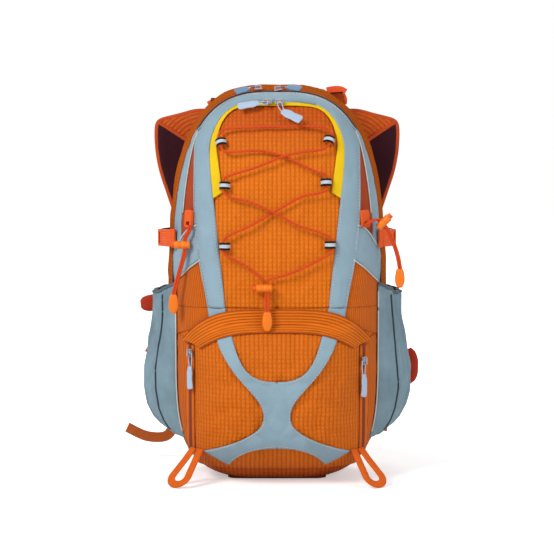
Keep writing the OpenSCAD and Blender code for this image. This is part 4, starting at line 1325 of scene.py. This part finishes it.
long_pad = [(178, 18, 1), (182, 22, 5), (190, 27, 8), (260, 29, 10), (360, 29, 10), (420, 26, 8),
            (430, 20, 5), (434, 16, 1)]
hip_pad = [(60, 58, 1), (64, 66, 5), (72, 76, 9), (110, 82, 12), (150, 76, 9), (158, 66, 5), (162, 58, 1)]
back_pad("back_pad_right", 46, long_pad, "back_pads")
back_pad("back_pad_left", -46, long_pad)
back_pad("lumbar_pad", 0, hip_pad)

# ---- Gear loops and haul loop ----
# Loops of flat webbing: two at the pack's foot for an axe or poles, and one at the back of the
# top to lift it by.

gear_root, gear_len, gear_width = Vector((102, -74, 44)), 59.0, 10.4
gear_turn = Matrix.Rotation(math.radians(-51.0), 3, "Z") @ Matrix.Rotation(math.radians(44.0), 3, "Y")


def gear_loop_line(t):
    """The middle of the tape round the loop, from one sewn end to the other."""
    reach, bend, foot, leg = gear_len - 14.5, 12.6, 5.4, 0.38
    if t < leg:
        return (reach * (t / leg), foot + (bend - foot) * (t / leg))
    if t > 1 - leg:
        s, w = gear_loop_line(1 - t)
        return (s, -w)
    angle = math.pi * (0.5 - (t - leg) / (1 - 2 * leg))
    return (reach + bend * math.cos(angle), bend * math.sin(angle))


for side, name in sides:

    def gear_place(u, v):
        s, w = gear_loop_line(v)
        s2, w2 = gear_loop_line(min(1.0, v + 0.004))
        s1, w1 = gear_loop_line(max(0.0, v - 0.004))
        ahead = Vector((s2 - s1, w2 - w1, 0)).normalized()
        out = Vector((ahead.y, -ahead.x, 0))
        rise = 0.9 + 0.8 * math.sin(math.pi * u) + (1.2 if w > 0 else 0.0) * max(0.0, 1 - s / 16)
        p = gear_root + gear_turn @ Vector((s - out.x * gear_width * (u - 0.5),
                                            w - out.y * gear_width * (u - 0.5), rise))
        return Vector((side * p.x, p.y, p.z))

    fitted_panel("gear_loop_tape_" + name, 8, 120, gear_place, orange_tape, 1.4, "gear_loop_" + name,
                 "webbing", "gear_loop_" + name, facing=(0, -0.6, 0.8))

haul_half = [Vector(p) for p in ((-15, 0, 2), (-20, 0, 8), (-22, 0, 20), (-20, 0, 32), (-12, 0, 39))]
haul_route = smooth_route(haul_half + [Vector((0, 0, 41))]
                          + [Vector((-p.x, 0, p.z)) for p in haul_half[::-1]], 8)
haul_root, haul_width = Vector((0, 91.6, 434)), 7.0


def haul_line(t):
    """A rounded loop, from one sewn end over the top to the other."""
    i, share = step_at(haul_route, t)
    return haul_route[i].lerp(haul_route[i + 1], share)


def haul_place(u, v):
    p = haul_line(v)
    t = (haul_line(min(1.0, v + 0.01)) - haul_line(max(0.0, v - 0.01))).normalized()
    out = Vector((t.z, 0, -t.x))
    return haul_root + p + out * haul_width * (u - 0.5) + Vector((0, 1.2 * math.sin(math.pi * u), 0))


fitted_panel("haul_loop_tape", 8, 100, haul_place, black_tape, 1.8, "haul_loop", "webbing", "haul_loop",
             facing=(0, 1, 0))

# ---- Hanging cords on the two tabs ----
# Elastic cord, doubled through a small sewn tab on each side and a sprung barrel lock. Its two
# ends are gripped in a moulded pull.

hanging = {
    "left": [(-110, -81, 330), (-112, -80, 322), (-117, -77.5, 312), (-117, -77.5, 298), (-121, -75, 282),
             (-126, -73, 264), (-131, -71, 246), (-131.5, -71, 238)],
    "right": [(111.6, -82.8, 330), (118, -78.4, 334.6), (127, -69, 337), (133, -69, 331), (139, -69, 325),
              (147, -66, 308), (153, -63, 290), (156, -61, 274), (156.5, -61, 266)],
}
for name, route in hanging.items():
    for number, shift in enumerate((-0.8, 2.0)):
        free_cord("pole_cord_%s_%d" % (name, number), [(x + shift, y, z) for x, y, z in route],
                  "pole_loop_" + name, None if number else "pole_cord_" + name)

# ---- Moulded fittings ----
# Barrel locks with their cord ends, zip pulls with rubber cords, and sprung buckles, all moulded
# in coloured plastic. The buttons, the buckles' male halves and the sliders keep their built shapes.

moulded_orange = plastic_finish("moulded_orange", colour(236, 92, 16))
moulded_bright = plastic_finish("moulded_bright", colour(246, 124, 10))
pull_blue = plastic_finish("pull_pale_blue", colour(178, 198, 220))
pull_steel = plastic_finish("pull_steel_blue", colour(110, 148, 184), 0.4)
slider_steel = Finish("slider_metal", roughness=0.32, metallic=1.0)
steel_dust = slider_steel.speckle(500.0, 4.0, 0.7)
slider_steel.feed("Base Color", slider_steel.mix(steel_dust, colour(150, 150, 154), colour(206, 206, 210)))
slider_steel.feed("Roughness", 0.24 + steel_dust * 0.22)
slider_steel.bump(steel_dust, 0.15, 0.0002)


def barrel_rings(at, turn, slide=0.0):
    """A barrel lock: ribbed at its closed end, with a bore for the button at the other."""
    spin = Matrix.Rotation(math.radians(turn), 3, "Y")
    profile = [(0.4, 0), (3.4, 0), (4.6, 0.6), (5.0, 1.8), (5.0, 3.0), (4.5, 3.5), (4.5, 4.1),
               (5.0, 4.6), (5.0, 9.4), (4.6, 10), (4.6, 10.6), (5.0, 11.2), (5.0, 19), (4.6, 19.8),
               (3.7, 20), (3.6, 19.4), (3.6, 11.2), (0.4, 11.2)]
    return [[Vector(at) + spin @ Vector((r * math.cos(a), r * math.sin(a), z + slide))
             for a in (2 * math.pi * k / 32 for k in range(32))] for r, z in profile]


def end_pull_rings(top):
    """The flat moulded end that grips two cords."""
    x, y, z = top
    return moulded_rings([((x, y, z - d), w, t) for d, w, t in
                          ((0, 3.4, 1.7), (1.2, 4.4, 2.1), (5, 5.4, 2.4), (11, 6.3, 2.6), (16, 6.1, 2.6),
                           (20, 5.0, 2.3), (22.8, 3.4, 1.7), (24, 1.6, 0.8))], (0, 1, 0), 0.8, 36)


moulded_piece("front_barrel", [barrel_rings((-6, -103.5, 252), -90)], moulded_bright, "front_cover",
              "front_lock_barrel")
moulded_piece("front_end_pull", [end_pull_rings((-12.2, -112.8, 222.7))], moulded_bright, "front_pull",
              "front_pull")
for name, at, turn, slide, top in (("left", (-110, -77.5, 305), -90, 0, (-131.5, -71, 241.5)),
                                   ("right", (133, -69, 331), 45, -7, (156.5, -61, 273.5))):
    moulded_piece("pole_barrel_" + name, [barrel_rings(at, turn, slide), end_pull_rings(top)],
                  moulded_bright, "pole_loop_" + name, "pole_lock_" + name)
for side, name in sides:
    out = Vector((0.809 * side, -0.588, 0))
    along = Vector((0.588 * side, 0.809, 0))
    middle = Vector((137 * side, -33.8, buckle_z)) + out * 4
    wrap = []
    for k in range(49):
        z = k / 48 * 22 - 11
        rib = 0.4 * math.cos(2 * math.pi * z / 3.1)
        end = 1 - 0.2 * abs(z / 11) ** 8
        wrap.append((middle + Vector((0, 0, z)), (10.8 + rib) * end, (4.2 + rib) * end))
    ear = [(middle - along * 13 + Vector((0, 0, z)), w, t) for z, w, t in
           ((-11, 3.2, 1.4), (-10, 4, 2), (10, 4, 2), (11, 3.2, 1.4))]
    moulded_piece("buckle_female_" + name,
                  [moulded_rings(wrap, out, 0.7, 96, 28), moulded_rings(ear, out, 0.5)],
                  moulded_orange, "front_cover", "buckle_females" if side > 0 else None)
for node in ("front_lock_button", "pole_button_left", "pole_button_right", "pole_tabs",
             "buckle_male_left", "buckle_male_right"):
    dress(node, moulded_orange)


def zip_pull(name, bar, across, arm, start, end, face, half, bow, material):
    """Two rubber cords from the slider's bar, gripped by a waisted tag."""
    bar, arm, start, end, across = (Vector(p) for p in (bar, arm, start, end, across))
    along = (end - start).normalized()
    side = Vector(face).cross(along).normalized()
    side = side if side.dot(across) > 0 else -side
    cord_r = 0.65
    bridge = [(bar + across * 3.3 * k, cord_r, cord_r) for k in (-1, 1)]
    parts = [moulded_rings(bridge, face, 1.0, 2, 10)]
    for k in (-1, 1):
        cord = (bar + across * 2.7 * k, arm + across * 2.6 * k, start + side * 1.4 * k + along)
        parts.append(moulded_rings([(p, cord_r, cord_r) for p in cord], face, 1.0, 16, 10))
    tag = [(0.0, 2.6, 1.2), (0.04, 3.2, 1.4), (0.14, 3.6, 1.4), (0.2, 4.4, 1.3), (0.32, 4.8, 1.2),
           (0.55, 4.4, 1.1), (0.8, 4.9, 1.2), (0.93, 4.8, 1.2), (0.985, 3.9, 1.0), (1.0, 3.0, 0.6)]
    parts.append(moulded_rings([(start.lerp(end, t) + side * bow * math.sin(math.pi * t), w * half / 4.6, d)
                                for t, w, d in tag], face, 0.45, 40))
    moulded_piece("zip_pull_" + name, parts, material, name, name)


def along_cloth(x, z, degrees):
    """The direction over the front at an angle from the pack's right."""
    a = math.radians(degrees)
    n = cloth_normal(x, z)
    d = Vector((math.cos(a), 0, math.sin(a)))
    return (d - n * d.dot(n)).normalized()


for name, bar, arm, start, end in (
        ("main_pull_right", (0.8, 3, 505.1), (9.6, 3, 506.6), (13, -13, 505.6), (30.5, -18, 503.2)),
        ("main_pull_left", (-24.4, 3, 506.4), (-33.4, 3, 506.2), (-36.4, -13, 503.4), (-53.5, -17.5, 499))):
    zip_pull(name, bar, (0, 1, 0), arm, start, end, (0, -0.6, 0.8), 5.2, 0.6, pull_steel)
upper_zip_z = 484.5
for name, x, cord, turn, tag, tag_turn in (("pocket_pull_right", 3, 16.5, -82, 28, -37),
                                           ("pocket_pull_left", -12, 11, 183, 27, 193)):
    bar = on_cloth(x, upper_zip_z, 8.6)
    way = along_cloth(x, upper_zip_z, turn)
    start = bar + way * cord
    end = start + along_cloth(x + 10 * math.cos(math.radians(turn)), 474, tag_turn) * tag
    zip_pull(name, bar, along_cloth(x, upper_zip_z, turn + 90), bar + way * cord * 0.6, start, end,
             cloth_normal(x, 478), 6.0 if x > 0 else 5.0, 0.0, pull_blue)
for name, side, z in (("lower_pull_right", 1, 158), ("lower_pull_left", -1, 168)):
    x = side * low_zip_x
    bar = on_cloth(x, z, 8.2)
    down = along_cloth(x, z, -90)
    zip_pull(name, bar, along_cloth(x, z, 0), bar + down * 9, bar + down * 17, bar + down * 46,
             cloth_normal(x, z), 4.4, side * 1.4, pull_blue)
for zip_name in ("main", "pocket", "lower"):
    for side, name in sides:
        dress("%s_slider_%s" % (zip_name, name), slider_steel.material)
dress("base_patch", plastic_finish("base_rubber", colour(140, 62, 24), 0.7))

# ---- Floor, background and lights ----
# A pale floor that fades into a white surround, with a large soft key lamp at the left and two
# weaker ones to its right and behind.

floor_mesh = bmesh.new()
bmesh.ops.create_grid(floor_mesh, x_segments=1, y_segments=1, size=9000)
floor_finish = Finish("floor_pale", roughness=0.95, specular=0.0)
floor_finish.shader.inputs["Base Color"].default_value = (0.86, 0.86, 0.86, 1)
far_off = floor_finish.node("ShaderNodeVectorMath", {"operation": "LENGTH"},
                            {0: floor_finish.solid()}, out=1)
fade_from, fade_over = 0.25, 0.9
share = ((far_off - fade_from) / fade_over).larger(0.0)
lens_ray = floor_finish.node("ShaderNodeLightPath")
glow = (0.42 + share).smaller(1.0) * lens_ray
floor_finish.feed("Emission Color", floor_finish.mix(glow, (0, 0, 0, 1), (1, 1, 1, 1)))
floor_finish.shader.inputs["Emission Strength"].default_value = 1.0
floor = cloth_object("floor", floor_mesh, floor_finish.material)

world = bpy.data.worlds.new("surround")
bpy.context.scene.world = world
world.use_nodes = True
sky = world.node_tree
background = sky.nodes["Background"]
white = sky.nodes.new("ShaderNodeBackground")
for shader, strength in ((white, 1.0), (background, 0.35)):
    shader.inputs["Color"].default_value = (1, 1, 1, 1)
    shader.inputs["Strength"].default_value = strength
rays = sky.nodes.new("ShaderNodeLightPath")
by_lens, by_gloss, through_it = (Wire(sky, rays.outputs["Is %s Ray" % kind])
                                 for kind in ("Camera", "Glossy", "Transmission"))
seen = by_lens.larger(by_gloss).larger(through_it)
swap = sky.nodes.new("ShaderNodeMixShader")
sky.links.new(seen.socket, swap.inputs[0])
sky.links.new(background.outputs[0], swap.inputs[1])
sky.links.new(white.outputs[0], swap.inputs[2])
sky.links.new(swap.outputs[0], sky.nodes["World Output"].inputs["Surface"])


def lamp(name, place, at, size, power):
    data = bpy.data.lights.new(name, "AREA")
    data.size = size
    data.energy = power
    piece = bpy.data.objects.new(name, data)
    piece.location = place
    piece.rotation_euler = (Vector(at) - Vector(place)).to_track_quat("-Z", "Y").to_euler()
    bpy.context.scene.collection.objects.link(piece)


lamp("key", (-1.5, -1.7, 1.8), (0, 0, 0.28), 0.9, 50)
lamp("fill", (1.7, -1.6, 1.0), (0, 0, 0.25), 1.4, 19)
lamp("rear", (0.4, 1.8, 1.5), (0, 0, 0.3), 1.2, 20)
bpy.context.scene.view_settings.view_transform = "Standard"
